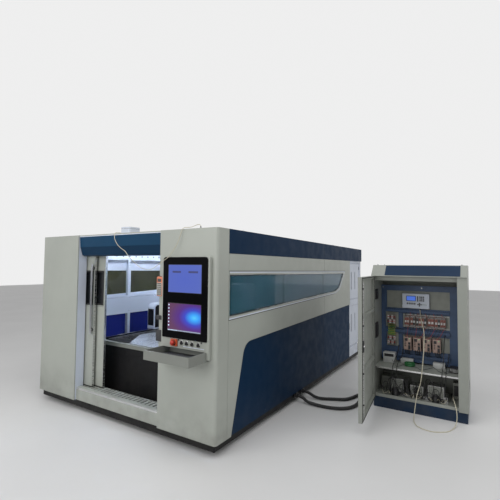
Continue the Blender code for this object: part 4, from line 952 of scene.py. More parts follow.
class CUTTER_OT_keyboard(Operator):
    """Lay a keyboard in the pull-out tray"""

    bl_idname = "cutter.keyboard"
    bl_label = "Keyboard"

    def execute(self, context):
        sizes = context.scene.cutter_sizes
        x, y, z = (-0.575, -0.135), (-0.225, -0.075), 0.8655
        shape = bmesh.new()
        block(shape, x, y, (z, z + 0.014), 0.003, 2)
        piece("keyboard_case", shape, "plastic", "tray")
        shape = bmesh.new()
        margin = 0.008
        pitch_x = (x[1] - x[0] - 2 * margin) / sizes.key_columns
        pitch_y = (y[1] - y[0] - 2 * margin) / sizes.key_rows
        for row in range(sizes.key_rows):
            for column in range(sizes.key_columns):
                left = x[0] + margin + column * pitch_x
                front = y[0] + margin + row * pitch_y
                if row == 0 and 3 <= column <= 8:
                    if column > 3:
                        continue
                    right = left + pitch_x * 6 - 0.003
                else:
                    right = left + pitch_x - 0.003
                block(shape, (left, right), (front, front + pitch_y - 0.003), (z + 0.0145, z + 0.019), 0.0009)
        piece("keyboard_keys", shape, plastic("key_plastic", (0.04, 0.04, 0.043), 0.5), "tray",
              slot="plastic")
        shape = bmesh.new()
        slab(shape, rectangle((-0.6125, -0.0975), (-0.2575, 0.0475), 0.002, 2), "Z", 0.865 + FIT, 0.8655)
        piece("tray_mat", shape, plastic("tray_mat_rubber", (0.022, 0.022, 0.024), 0.6), "tray",
              slot="plastic")
        return {"FINISHED"}


class CUTTER_OT_pendant(Operator):
    """Make the hand-held remote control and the clips below it"""

    bl_idname = "cutter.pendant"
    bl_label = "Remote control"

    def execute(self, context):
        x, z = (-0.722, -0.645), (1.4, 1.59)
        shape = bmesh.new()
        block(shape, x, (-0.0353, -0.0006), z, 0.009, 4)
        piece("remote_body", shape, "orange", replaces=["remote_pendant"])
        shape = bmesh.new()
        inner = rectangle((x[0] + 0.01, x[1] - 0.01), (z[0] + 0.012, z[1] - 0.062), 0.004, 3)
        ring(shape, moved_outline(inner, 0.004), inner, "Y", -0.0362, -0.0353)
        piece("remote_border", shape, plastic("remote_border_plastic", (0.55, 0.53, 0.46)), slot="white")
        shape = bmesh.new()
        slab(shape, inner, "Y", -0.0358, -0.0353)
        block(shape, (x[0] + 0.014, x[1] - 0.014), (-0.0368, -0.035), (z[1] - 0.05, z[1] - 0.02), 0.0008)
        piece("remote_face", shape, plastic("remote_face_plastic", (0.045, 0.045, 0.048)), slot="plastic")
        shape = bmesh.new()
        for row in range(6):
            for left in steps(x[0] + 0.0145, 0.0126, 4):
                low = z[0] + 0.017 + row * 0.018
                block(shape, (left, left + 0.0092), (-0.0374, -0.0358), (low, low + 0.012), 0.0014, 2)
        piece("remote_keys", shape, plastic("remote_key_rubber", (0.42, 0.42, 0.38)), slot="white")
        shape = bmesh.new()
        lathe(shape, [(0.0, 0.0), (0.01, 0.0), (0.01, 0.006), (0.0075, 0.009), (0.0, 0.01)],
              ((x[0] + x[1]) / 2, -0.018, z[1] - 0.002), 24)
        piece("remote_aerial", shape, "plastic")
        shape = bmesh.new()
        for low, high in ((1.172, 1.21), (0.962, 1.07)):
            block(shape, (-0.6712, -0.6404), (-0.0236, -0.022), (low - 0.001, high + 0.001), 0.0004)
            block(shape, (-0.73, -0.6702), (-0.023, -0.0006), (low - 0.001, high + 0.001), 0.004, 2)
        lathe(shape, [(0.0, 0.0), (0.021, 0.0), (0.023, 0.003), (0.021, 0.008), (0.0, 0.01)],
              (-0.7, -0.0228, 1.19), 28, FRONTWARDS)
        piece("edge_clip_covers", shape, "plastic")
        return {"FINISHED"}


# Enclosure


ENCLOSURE_X = (-2.82, 0.0)
ENCLOSURE_Y = (0.0, 4.65)
SIDES = ((ENCLOSURE_X[1], 1.0), (ENCLOSURE_X[0], -1.0))
ROOF_TOP = 2.05
SHELL_INSET = 0.0125


def shell_paint(name, colour, inside, roughness=0.4, grime=0.35, shine=0.5):
    """Sheet painted one colour outside and another on its faces inside the enclosure."""
    make = Recipe(name, paint(name, colour, roughness, 0.045, 0.05, grime, 0.5, shine))
    outer = make.inputs["Base Color"].links[0].from_socket
    low = place(ENCLOSURE_X[0], ENCLOSURE_Y[0], 0.0)
    high = place(ENCLOSURE_X[1], ENCLOSURE_Y[1], ROOF_TOP)
    mask = 1.0
    for axis, limit, kind in (
        ("X", low.x + SHELL_INSET, "GREATER_THAN"), ("X", high.x - SHELL_INSET, "LESS_THAN"),
        ("Y", low.y + SHELL_INSET, "GREATER_THAN"), ("Y", high.y - SHELL_INSET, "LESS_THAN"),
        ("Z", high.z - SHELL_INSET, "LESS_THAN"),
    ):
        mask = make.calculate("MULTIPLY", make.calculate(kind, make.axis(axis), limit), mask)
    return make.finish({"Base Color": make.mix(mask, outer, inside)})


SHELL_PANELS = ["front_left_column", "front_right_column", "right_upper_panel", "left_upper_panel",
                "roof_panel", "rear_panel"]
SHELL_BANDS = ["right_top_band", "left_top_band"]
SHELL_LOWER = ["right_lower_panel", "left_lower_panel"]


class CUTTER_OT_shell(Operator):
    """Paint the enclosure's panels and add their seams"""

    bl_idname = "cutter.shell"
    bl_label = "Enclosure"

    def execute(self, context):
        look = context.scene.cutter_paint
        outer = shell_paint("enclosure_grey", look.panel, look.interior)
        band = shell_paint("enclosure_navy", look.navy, look.interior, 0.46, 0.12, 0.08)
        lower = shell_paint("lower_navy", look.navy, look.inner_blue, 0.46, 0.12, 0.08)
        for names, finish in ((SHELL_PANELS, outer), (SHELL_BANDS, band), (SHELL_LOWER, lower)):
            for name in names:
                dress(name, finish)
        seams = bmesh.new()
        for x, out in SIDES:
            depth = between(x, out, 0.0004, -0.0002)
            for z in ((1.015, 1.3005), (1.65, 1.816), (1.821, 2.049)):
                block(seams, depth, about(2.64, 0.0018), z)
            step = sorted((x - out * 0.012 + out * 0.0004, x - out * 0.0122))
            block(seams, step, (2.6382, 2.6418), (0.122, 1.006))
        piece("panel_seams", seams, "seam", smooth=False)
        return {"FINISHED"}


WINDOW = [(0.181, 1.23), (3.11, 1.315), (3.305, 1.363), (3.54, 1.607), (0.181, 1.622)]
WINDOW_RADII = {1: 0.15, 2: 0.05}


class CUTTER_OT_window_rims(Operator):
    """Edge the slanting side windows with a dark gasket and a bright lip"""

    bl_idname = "cutter.window_rims"
    bl_label = "Window rims"

    def execute(self, context):
        gasket, lip = shapes(window_gaskets="seam", window_lips="bright")
        opening = rounded(WINDOW, WINDOW_RADII)
        inner = moved_outline(opening, -0.0002)
        for side, out in SIDES:
            face = side + out * 0.006
            narrow = moved_outline(opening, -0.012)
            ring(gasket, inner, narrow, "X", *between(side, out, -0.0095, -0.004))
            ring(lip, inner, moved_outline(opening, -0.006), "X",
                 *sorted((side - out * 0.0038, face - out * 0.0008)))
        return settle()


LED_LENGTH_Y = (0.45, 4.3)


class CUTTER_OT_lamps(Operator):
    """Hang the lamp bars inside the enclosure"""

    bl_idname = "cutter.lamps"
    bl_label = "Lamp bars"

    def execute(self, context):
        housings, covers = [bmesh.new() for _ in range(2)]
        for x in (-2.56, -1.41, -0.26):
            block(housings, about(x, 0.03), LED_LENGTH_Y, (2.012, 2.0297), 0.003, 2)
            block(covers, about(x, 0.022), (LED_LENGTH_Y[0] + 0.01, LED_LENGTH_Y[1] - 0.01),
                  (2.0045, 2.0117), 0.003, 2)
        block(housings, (-2.02, -0.77), (0.24, 0.29), (2.012, 2.0297), 0.003, 2)
        block(covers, (-2.01, -0.78), (0.246, 0.284), (2.0045, 2.0117), 0.003, 2)
        piece("lamp_housings", housings, "interior")
        piece("lamp_covers", covers, glowing("lamp_opal", (0.8, 0.88, 1.0), 31.0), slot="white")
        return {"FINISHED"}


# Inside: liners, bed, gantry


FRAME_INNER = 0.05
BAYS_Y = [(0.25, 1.31), (1.36, 2.615), (2.665, 3.85)]


def bays(low, high):
    """Bays between the posts of a wall frame, each a little clear of the posts."""
    return [(start + 0.001, end - 0.001, low + 0.001, high - 0.001) for start, end in BAYS_Y]


class CUTTER_OT_liners(Operator):
    """Line the walls above and below the windows, and mark the top rails' holes with dark discs of painted shade"""

    bl_idname = "cutter.liners"
    bl_label = "Liners"

    def execute(self, context):
        liners, holes, heads = shapes(window_liners="interior", rail_holes="seam", frame_bolts="bright")
        for side, out in SIDES:
            face = between(side, out, -0.022, -0.0235)
            for start, end, low, high in bays(1.646, 1.78):
                block(liners, face, (start, end), (low, high), 0.0005)
            for start, end, low, high in bays(1.225, 1.78):
                block(liners, between(side, out, -0.022, -0.029), (start, end), (low, low + 0.004), 0.0005)
            inner = side - out * (0.02 + FIT + FRAME_INNER)
            skin = between(inner, out, -FIT, -0.0012)
            # Dark discs on the top rails stand for holes: painted shade, not openings.
            for y in steps(0.33, 0.125, 34):
                centre = (inner - out * FIT, y, 1.84)
                lathe(holes, [(0.0, 0.0), (0.011, 0.0), (0.011, 0.0008), (0.0, 0.0008)], centre, 16,
                      (-out, 0, 0))
            studs(heads, "X", (inner - out * FIT, inner - out * 0.004), (0.225, 1.335, 2.64, 3.875),
                  (0.3, 0.62, 0.985, 1.19, 1.7, 1.86), 0.007, 0.006, 6)
            block(heads, skin, (0.24, 4.56), (1.1985, 1.2015), 0.0004)
        return settle()


BED_X = (-2.36, -0.46)
BED_Y = (0.38, 4.15)
RAIL_TOP = 0.745
GANTRY_LEFT_X = (-2.32, -2.18)
GANTRY_RIGHT_X = (-0.64, -0.5)
GANTRY_Y = (1.33, 1.85)
GANTRY_TOP = 1.13


class CUTTER_OT_bed(Operator):
    """Add the rails' ground faces, the rail bolts, slat teeth and apron seams"""

    bl_idname = "cutter.bed"
    bl_label = "Bed"

    def execute(self, context):
        rim, tops, bolts, apron, teeth, seams, blocks = shapes(bed_front_rim="tray flat",
                rail_grind="bright flat", bed_bolts="steel", apron_bolts="black", slat_teeth="steel flat",
                apron_seams="seam flat", rail_stops="plastic")
        for middle in (-2.25, -0.57):
            for low, high in ((middle - 0.0195, middle - 0.006), (middle + 0.006, middle + 0.0195)):
                block(tops, (low, high), (0.425, 4.105), (RAIL_TOP + 0.0001, RAIL_TOP + 0.0002))
            studs(bolts, "Z", (RAIL_TOP - 0.004, RAIL_TOP + 0.00015), [middle], steps(0.46, 0.08, 46), 0.005,
                  0.005, 10)
            for y in (0.4, 4.128):
                block(blocks, about(middle, 0.032), about(y, 0.015), (0.7503, 0.79), 0.004, 2)
                stud(blocks, "Z", (0.7895, 0.8), middle, y, 0.009, 0.008, 12)
        count = int((4.1 - 0.43 - 0.06) / 0.1)
        start = (0.43 + 4.1 - (count - 1) * 0.1) / 2
        for y in steps(start, 0.1, count):
            if y < 1.905:
                continue
            for x in steps(-2.105, 0.03, 47):
                slab(teeth, [(x, 0.744), (x + 0.012, 0.744), (x + 0.006, 0.76)], "Y", y - 0.0028, y + 0.0028)
        for x in (-1.89, -1.41, -0.93):
            block(seams, about(x, 0.0015), proud(BED_Y[0], 0.0006), (0.16, 0.7))
        studs(apron, "Y", (BED_Y[0] - FIT, BED_Y[0] - 0.006), steps(-2.3, 0.222, 9), (0.64, 0.2), 0.008,
              0.007, 6)
        block(rim, (BED_X[0] + 0.004, BED_X[1] - 0.004), proud(BED_Y[0], 0.0016), (0.706, 0.7496), 0.0006)
        block(rim, (BED_X[0] + 0.004, BED_X[1] - 0.004), (BED_Y[0] + 0.0005, BED_Y[0] + 0.0495),
              (0.7501, 0.75025))
        return settle()


class CUTTER_OT_gantry(Operator):
    """Face the gantry's end housings with plates and bolts"""

    bl_idname = "cutter.gantry"
    bl_label = "Gantry"

    def execute(self, context):
        plates, borders, bolts = shapes("gantry", gantry_side_plates="black", gantry_front_plates="black",
                                        gantry_bolts="bright")
        housing = [(GANTRY_Y[0], 0.7453), (GANTRY_Y[1], 0.7453), (GANTRY_Y[1], GANTRY_TOP),
                   (GANTRY_Y[0], GANTRY_TOP)]
        housing = rounded(housing, {2: 0.04, 3: 0.08})
        for x, out in ((GANTRY_LEFT_X[0], -1.0), (GANTRY_RIGHT_X[1], 1.0)):
            field = moved_outline(housing, -0.045)
            slab(plates, field, "X", *between(x, out, FIT, 0.0022))
            for y, z in ((1.385, 0.8), (1.795, 0.8), (1.795, 1.075), (1.415, 1.065)):
                stud(bolts, "X", (x + out * 0.0022, x + out * 0.007), y, z, 0.007, 0.006, 6)
        for x, out in ((GANTRY_LEFT_X[1], 1.0), (GANTRY_RIGHT_X[0], -1.0)):
            low = rounded([(GANTRY_Y[0] + 0.022, 0.77), (1.448, 0.77), (1.448, 1.102),
                           (GANTRY_Y[0] + 0.022, 1.102)], {3: 0.05})
            slab(plates, low, "X", *between(x, out, FIT, 0.0018))
            block(plates, between(x, out, FIT, 0.0018), (1.7525, 1.828), (0.77, 1.095), 0.0004)
            studs(bolts, "X", (x + out * 0.0018, x + out * 0.006), [1.79], (0.8, 0.93, 1.06), 0.007, 0.006, 6)
        front = GANTRY_Y[0]
        for low, high in (GANTRY_LEFT_X, GANTRY_RIGHT_X):
            block(borders, (low + 0.012, high - 0.008), proud(front, 0.0016), (0.8, 1.046), 0.0006)
            studs(bolts, "Y", (front - 0.0016, front - 0.0052), (low + 0.026, high - 0.026), (0.815, 1.031),
                  0.006, 0.005, 6)
        return settle()


CHAIN_ENDS = (-1.8, -1.02)
CHAIN_Y = (1.7051, 1.7399)
CHAIN_BOTTOM = 1.1003
CHAIN_T = 0.03
CHAIN_BEND = 0.075
LINK = 0.026


def chain_link(plates, bars, centre, angle):
    """One link: two side plates with rounded ends, and a bar on each face."""
    half = LINK / 2 - 0.0004
    tall = CHAIN_T / 2 - 0.0004
    turn = Matrix.Rotation(-angle, 2)

    def turned(outline):
        return [tuple(Vector(centre) + turn @ Vector(point)) for point in outline]

    plate = turned(rectangle((-half, half), (-tall, tall), 0.009, 4))
    for low, high in ((CHAIN_Y[0], CHAIN_Y[0] + 0.004), (CHAIN_Y[1] - 0.004, CHAIN_Y[1])):
        slab(plates, plate, "Y", low, high)
    for v in (-tall + 0.0014, tall - 0.0014):
        bar = turned(rectangle((-half * 0.45, half * 0.45), about(v, 0.0014), 0.0, 1))
        slab(bars, bar, "Y", CHAIN_Y[0] + 0.0042, CHAIN_Y[1] - 0.0042)
    eye = Vector(centre) + turn @ Vector((-half + 0.006, 0.0))
    stud(bars, "Y", (CHAIN_Y[0] - 0.0012, CHAIN_Y[0] + 0.001), eye.x, eye.y, 0.0034, 0.003, 10)


class CUTTER_OT_chain(Operator):
    """Build the cable chain from links, with its hoses inside"""

    bl_idname = "cutter.chain"
    bl_label = "Cable chain"

    def execute(self, context):
        plates, bars, hoses = [bmesh.new() for _ in range(3)]
        low, high = CHAIN_ENDS
        middle = CHAIN_BEND + CHAIN_T / 2
        run = high - low
        count = int(run / LINK)
        for index in range(count):
            x = high - (index + 0.5) * run / count
            chain_link(plates, bars, (x, CHAIN_BOTTOM + CHAIN_T / 2), 0.0)
            chain_link(plates, bars, (x, CHAIN_BOTTOM + CHAIN_T / 2 + 2 * middle), 0.0)
        turns = int(math.pi * middle / LINK)
        for index in range(turns):
            angle = math.radians(-90) - math.pi * (index + 0.5) / turns
            centre = (low + middle * math.cos(angle),
                      CHAIN_BOTTOM + CHAIN_T / 2 + middle + middle * math.sin(angle))
            chain_link(plates, bars, centre, angle + math.radians(90))
        for y, radius in ((1.7145, 0.0042), (1.7228, 0.0036), (1.7305, 0.004)):
            for z in (CHAIN_BOTTOM + CHAIN_T / 2, CHAIN_BOTTOM + CHAIN_T / 2 + 2 * middle):
                stud(hoses, "X", (low + 0.001, high - 0.001), y, z, radius, radius, 10)
        piece("chain_plates", plates, "plastic", "gantry", replaces=["x_cable_chain"])
        piece("chain_bars", bars, "conduit", "gantry", slot="plastic")
        piece("chain_hoses", hoses, "orange", "gantry")
        return {"FINISHED"}


CARRIAGE_X = (-1.005, -0.645)
CARRIAGE_Y = (1.1, 1.7)


class CUTTER_OT_carriage(Operator):
    """Add hatches and screws to the carriage and guides to its slide, with painted shade in its louvre slots and on
    two dark front plates
    """

    bl_idname = "cutter.carriage"
    bl_label = "Carriage"

    def execute(self, context):
        hatches, dark, bolts, guides = shapes("carriage", carriage_hatches="interior",
                                              carriage_louvres="seam", carriage_bolts="bright",
                                              slide_guides="bright")
        for x, out in ((CARRIAGE_X[0], -1.0), (CARRIAGE_X[1], 1.0)):
            hatch = rectangle((1.15, 1.44), (0.92, 1.42), 0.018, 4)
            slab(hatches, hatch, "X", *between(x, out, FIT, 0.002))
            # Dark strips for the louvre slots: painted shade.
            for z in steps(1.3, 0.01, 9):
                block(dark, between(x, out, 0.002, 0.0026), (1.2, 1.39), (z, z + 0.0035), 0.0002)
            studs(bolts, "X", (x + out * 0.002, x + out * 0.0048), (1.165, 1.295, 1.425), (0.935, 1.405),
                  0.005, 0.004, 6)
        front = CARRIAGE_Y[0]
        # Dark plates on the carriage front where the slide's shade falls: painted shade.
        for x in (CARRIAGE_X[0] + 0.046, CARRIAGE_X[1] - 0.046):
            slab(dark, rectangle(about(x, 0.033), (0.9, 1.425), 0.014), "Y", front - 0.0018, front - FIT)
            studs(bolts, "Y", (front - 0.0018, front - 0.005), [x], (0.92, 1.405), 0.005, 0.004, 6)
        for x in (-0.965, -0.685):
            block(guides, about(x, 0.011), proud(front, 0.013), (0.88, 1.3), 0.0015, 2)
            studs(dark, "Y", (front - 0.013, front - 0.0134), [x], steps(0.905, 0.053, 8), 0.004, 0.004, 10)
        return settle()


HEAD_X = (-0.87, -0.78)
HEAD_Y = (0.9791, 1.0594)
HEAD_Z = (0.9, 1.16)


class CUTTER_OT_cutting_head(Operator):
    """Add the lens drawer, collars, ports and clamps of the cutting head"""

    bl_idname = "cutter.cutting_head"
    bl_label = "Cutting head"

    def execute(self, context):
        dark, bright, brass, straps = shapes("head", head_drawers="plastic", head_collars="bright",
                                             nozzle_ring="brass", slide_strips="black")
        middle_x, middle_y = sum(HEAD_X) / 2, sum(HEAD_Y) / 2
        block(dark, (HEAD_X[0] + 0.012, HEAD_X[1] - 0.012), proud(HEAD_Y[0], 0.006), (0.935, 0.965), 0.002, 2)
        block(dark, (HEAD_X[0] + 0.012, HEAD_X[1] - 0.012), proud(HEAD_Y[0], 0.006), (0.98, 1.005), 0.002, 2)
        studs(bright, "Y", (HEAD_Y[0] - 0.0062, HEAD_Y[0] - 0.014), [middle_x], (0.95, 0.9925), 0.006, 0.005,
              16)
        block(bright, (HEAD_X[0] + 0.004, HEAD_X[1] - 0.004), proud(HEAD_Y[0], 0.0024), (1.04, 1.14), 0.001,
              2)
        studs(dark, "Y", (HEAD_Y[0] - 0.0024, HEAD_Y[0] - 0.003), (HEAD_X[0] + 0.014, HEAD_X[1] - 0.014),
              (1.052, 1.128), 0.004, 0.004, 12)
        lathe(dark, [(0.0, 0.0), (0.03, 0.0), (0.032, 0.003), (0.032, 0.03), (0.027, 0.036), (0.0, 0.036)],
              (middle_x, middle_y, HEAD_Z[1] + FIT), 32)
        lathe(bright, [(0.0, 0.0), (0.018, 0.0), (0.018, 0.05), (0.012, 0.056), (0.012, 0.076), (0.0, 0.076)],
              (middle_x, middle_y, HEAD_Z[1] + 0.0363), 28)
        lathe(brass, [(0.0105, 0.0), (0.0125, 0.0), (0.015, 0.01), (0.0135, 0.014), (0.0118, 0.014)],
              (middle_x, middle_y, 0.812), 24)
        stud(brass, "X", (HEAD_X[1] + FIT, HEAD_X[1] + 0.012), middle_y, 0.925, 0.007, 0.007, 6)
        stud(dark, "X", (HEAD_X[1] + 0.012, HEAD_X[1] + 0.02), middle_y, 0.925, 0.005, 0.005, 12)
        front = 1.0597
        block(straps, (-0.915, -0.872), proud(front, 0.0016), (0.84, 1.28), 0.0006)
        block(straps, (-0.778, -0.735), proud(front, 0.0016), (0.84, 1.28), 0.0006)
        studs(bright, "Y", (front - 0.0016, front - 0.0052), (-0.9, -0.75), (0.86, 1.0, 1.14, 1.265), 0.005,
              0.004, 6)
        return settle()


# Sliding leaves, header, sill


LEAVES = {"leading_leaf": (-2.65, -1.93, 0.13), "trailing_leaf": (-2.52, -1.8, 0.18)}
LEAF_Z = (0.27, 1.8297)
LEAF_WINDOW_Z = (1.23, 1.62)
HANDLE_X = -1.95
HANDLE_FACE_Y = 0.0997


class CUTTER_OT_leaves(Operator):
    """Add gaskets, edge trims, screws, bottom brushes and a seam line to the sliding door leaves"""

    bl_idname = "cutter.leaves"
    bl_label = "Door leaves"

    def execute(self, context):
        for body, (left, right, y) in LEAVES.items():
            gasket, trim, bolts, brushes = [bmesh.new() for _ in range(4)]
            opening = rectangle((left + 0.03, right - 0.03), LEAF_WINDOW_Z)
            inner = moved_outline(opening, -0.01)
            outer = moved_outline(opening, 0.012)
            ring(gasket, outer, inner, "Y", y - 0.0022, y - FIT)
            ring(gasket, outer, inner, "Y", y + 0.03 + FIT, y + 0.0322)
            block(trim, (right + FIT, right + 0.0022), (y + 0.003, y + 0.027),
                  (LEAF_Z[0] + 0.004, LEAF_Z[1] - 0.006), 0.0008)
            studs(bolts, "X", (right + 0.0022, right + 0.0045), [y + 0.015], (0.33, 0.76, 1.17, 1.66, 1.78),
                  0.0042, 0.0032, 6)
            block(brushes, (left + 0.01, right - 0.01), (y + 0.006, y + 0.024), (0.2562, LEAF_Z[0] - FIT),
                  0.001)
            seam = 1.205
            block(brushes, (left + 0.002, right - 0.02), proud(y, 0.0006), about(seam, 0.0012))
            piece(f"{body}_gasket", gasket, "seam", body)
            piece(f"{body}_trim", trim, "bright", body)
            piece(f"{body}_bolts", bolts, "bright", body)
            piece(f"{body}_brush", brushes, "seam", body, smooth=False)
        return {"FINISHED"}


class CUTTER_OT_handle(Operator):
    """Seat the leading leaf's bar handle on two brackets"""

    bl_idname = "cutter.handle"
    bl_label = "Bar handle"

    def execute(self, context):
        pads, caps = shapes("leading_leaf", handle_pads="plastic", handle_screws="bright")
        for z in (0.93, 1.66):
            lathe(pads, [(0.0124, 0.0), (0.0195, 0.0), (0.0195, 0.004), (0.016, 0.009), (0.0124, 0.009)],
                  (HANDLE_X, 0.1296, z), 24, FRONTWARDS)
            stud(caps, "Y", (HANDLE_FACE_Y - FIT, HANDLE_FACE_Y - 0.0026), HANDLE_X, z, 0.0075, 0.006, 16)
            stud(caps, "Y", (HANDLE_FACE_Y - 0.0026, HANDLE_FACE_Y - 0.0034), HANDLE_X, z, 0.0035, 0.0035, 6)
        return settle()


def header_paint(name, upper, lower):
    """The folded fascia: its upper slope is painted a lighter blue than its lower one, a painted highlight for the
    slope that faces up into the light.
    """
    make = Recipe(name, paint(name, upper, 0.34, 0.1, 0.05, 0.0, shine=0.15))
    above = make.inputs["Base Color"].links[0].from_socket
    fold = make.remap(make.axis("Z"), 0.0, 1.0, 1.9085, 1.9115)
    return make.finish({"Base Color": make.mix(fold, lower, above)})


class CUTTER_OT_header(Operator):
    """Paint the header fascia, its upper slope lighter as painted light, and add a joint across it"""

    bl_idname = "cutter.header"
    bl_label = "Header"

    def execute(self, context):
        # Lighter blue above the fold and darker below: painted light on the one blue fascia.
        dress("header_fascia", header_paint("header_blue_lit_slope", (0.0045, 0.042, 0.096), (0.0025, 0.028, 0.068)))
        seams = bmesh.new()
        fold = (0.026, 1.91)
        for low, high in (((0.018, 2.029), fold), (fold, (0.055, 1.817))):
            line = [(low[0] - 0.0005, low[1]), (high[0] - 0.0005, high[1]),
                    (high[0] - 0.0003, high[1] + 0.0001), (low[0] - 0.0003, low[1] + 0.0001)]
            slab(seams, line, "X", -1.3952, -1.3936)
        piece("header_joint", seams, "seam", smooth=False)
        return {"FINISHED"}


SILL_X = (-2.0737, -0.7143)


class CUTTER_OT_sill(Operator):
    """Lay the bright strip and the runner rails along the sill, and paint shade into the floors of its slots"""

    bl_idname = "cutter.sill"
    bl_label = "Sill"

    def execute(self, context):
        rails, fillers, kerb = shapes(sill_runners="bright flat", sill_slot_floors="seam flat",
                                      sill_nose="bright")
        for low, high in ((0.088, 0.093), (0.207, 0.215)):
            block(rails, (SILL_X[0] + 0.003, SILL_X[1] - 0.003), (low, high), (0.2551, 0.2562), 0.0003)
        block(kerb, (SILL_X[0] + 0.002, SILL_X[1] - 0.002), (0.0282, 0.0297), (0.24, 0.264), 0.0006)
        # Dark floors in the sill's slots: painted shade.
        count = int((SILL_X[1] - SILL_X[0]) / 0.06)
        start = (SILL_X[0] + SILL_X[1] - (count - 1) * 0.06) / 2
        for x in steps(start, 0.06, count):
            block(fillers, about(x, 0.0108), (0.0955, 0.2045), (0.2491, 0.2497), 0.0002)
        return settle()


# Electrical cabinet


CABINET_INNER_X = (0.8453, 1.8337)
PLATE_FRONT = 2.53
BAY_FLOOR = 2.545
PLATE_BAYS = [
    (0.913, 1.655, 1.177, 1.404),
    (0.898, 1.06, 0.926, 1.123),
    (1.111, 1.651, 0.933, 1.112),
    (0.909, 1.058, 0.679, 0.859),
    (1.109, 1.647, 0.653, 0.84),
]
DISPLAY_FRONT = 2.4897


class CUTTER_OT_plate(Operator):
    """Paint the mounting plate and line its bays"""

    bl_idname = "cutter.plate"
    bl_label = "Mounting plate"

    def execute(self, context):
        dress("mounting_plate", FINISH["plate_blue"])
        floors, bolts, rails, ducts = shapes(bay_floors="bay_grey flat", plate_bolts="bright",
                                             bay_rails="steel", wire_ducts="plate_blue")
        for left, right, low, high in PLATE_BAYS:
            block(floors, (left + 0.001, right - 0.001), (BAY_FLOOR - 0.0002, BAY_FLOOR - 0.0001),
                  (low + 0.001, high - 0.001))
        studs(bolts, "Y", (PLATE_FRONT - FIT, PLATE_FRONT - 0.006), (0.868, 1.34, 1.81), (0.53, 1.445), 0.008,
              0.007, 6)
        for left, right, z in ((1.117, 1.645, 0.946), (1.117, 1.645, 1.099)):
            block(rails, (left, right), (2.5395, 2.5447), about(z, 0.004), 0.001)
        for low, high in ((0.866, 0.914), (0.56, 0.6), (1.128, 1.16)):
            for x in steps(0.915, 0.024, 31):
                block(ducts, (x, x + 0.016), proud(PLATE_FRONT, 0.022), (low, high), 0.001)
            block(ducts, (0.913, 1.652), (PLATE_FRONT - 0.0248, PLATE_FRONT - 0.0223),
                  (low + 0.004, high - 0.004), 0.001)
        return settle()


class CUTTER_OT_display(Operator):
    """Give the controller its screen and buttons"""

    bl_idname = "cutter.display"
    bl_label = "Controller"

    def execute(self, context):
        screen, bezel, keys, lamps = shapes(display_screen="display_blue", display_bezel="module_black",
                                            display_keys="module_black", display_lamps="terminal_green")
        face = DISPLAY_FRONT
        window = rectangle((1.166, 1.272), (1.284, 1.34), 0.004, 3)
        ring(bezel, moved_outline(window, 0.006), window, "Y", face - 0.003, face - FIT)
        slab(screen, moved_outline(window, -0.0006), "Y", face - 0.0014, face - FIT)
        block(bezel, (1.292, 1.304), proud(face, 0.0026), (1.276, 1.344), 0.001)
        for row in range(3):
            for x in steps(1.318, 0.02, 3):
                z = 1.342 - row * 0.023
                block(keys, (x, x + 0.015), proud(face, 0.0034), (z - 0.016, z), 0.0016, 2)
        for x in steps(1.168, 0.022, 5):
            block(keys, (x, x + 0.014), proud(face, 0.0034), (1.236, 1.258), 0.0016, 2)
        for dx, dz in ((-0.018, 0.0), (0.018, 0.0), (0.0, 0.016), (0.0, -0.016), (0.0, 0.0)):
            x, z = 1.318 + dx, 1.238 + dz
            block(keys, about(x, 0.0075), proud(face, 0.0034), about(z, 0.0065), 0.0014, 2)
        studs(lamps, "Y", (face - FIT, face - 0.004), steps(1.352, 0.014, 4), [1.238], 0.0042, 0.0034, 16)
        return settle()


BREAKER_ROWS = [(0.709, 0.106, 0.045), (0.975, 0.111, 0.055)]
RELAYS = [(1.141, 0.055, 0.062), (1.208, 0.06, 0.05), (1.278, 0.12, 0.066), (1.41, 0.07, 0.048),
          (1.49, 0.12, 0.058)]
RELAY_Z = (0.953, 1.092)
DRIVES = [1.139, 1.249, 1.359, 1.469]
DRIVE_W = 0.088
DRIVE_DEPTH = 0.11
DRIVE_Z = (0.665, 0.828)
GEAR_BACK = 2.5447


class CUTTER_OT_breakers(Operator):
    """Face the breakers with switches and terminal rows"""

    bl_idname = "cutter.breakers"
    bl_label = "Breakers"

    def execute(self, context):
        black, white, red, screws, green, yellow = shapes(breaker_black="module_black",
                                                          breaker_white="module_white",
                                                          breaker_levers="switch_red",
                                                          terminal_screws="bright flat",
                                                          terminals_green="terminal_green",
                                                          terminals_yellow="terminal_yellow")
        strip_front = PLATE_FRONT - FIT
        for row, (low, height, depth) in enumerate(BREAKER_ROWS):
            face = strip_front - depth
            for pole in range(4):
                x = 0.9305 + pole * 0.0247
                for half in range(2):
                    z = low + 0.003 + half * (height / 2 + 0.003)
                    tall = height / 2 - 0.009
                    side = black if (pole + half + row) % 2 else white
                    block(side, (x, x + 0.0225), proud(face, 0.003), (z, z + tall), 0.001)
                    block(red, (x + 0.006, x + 0.0165), (face - 0.011, face - 0.0032),
                          (z + tall * 0.42, z + tall * 0.68), 0.001)
                    for up in (0.16, 0.88):
                        stud(screws, "Y", (face - 0.003, face - 0.0036), x + 0.0112, z + tall * up, 0.0035,
                             0.0035, 10)
        for index in range(20):
            z = 0.824 + index * 0.0072
            side = yellow if index % 3 == 1 else green
            block(side, (0.934, 1.024), (strip_front - 0.03, strip_front - 0.0123), (z, z + 0.0062), 0.0006)
            studs(screws, "Y", (strip_front - 0.03, strip_front - 0.0306), (0.946, 1.012), [z + 0.0031],
                  0.0022, 0.0022, 8)
        return settle()


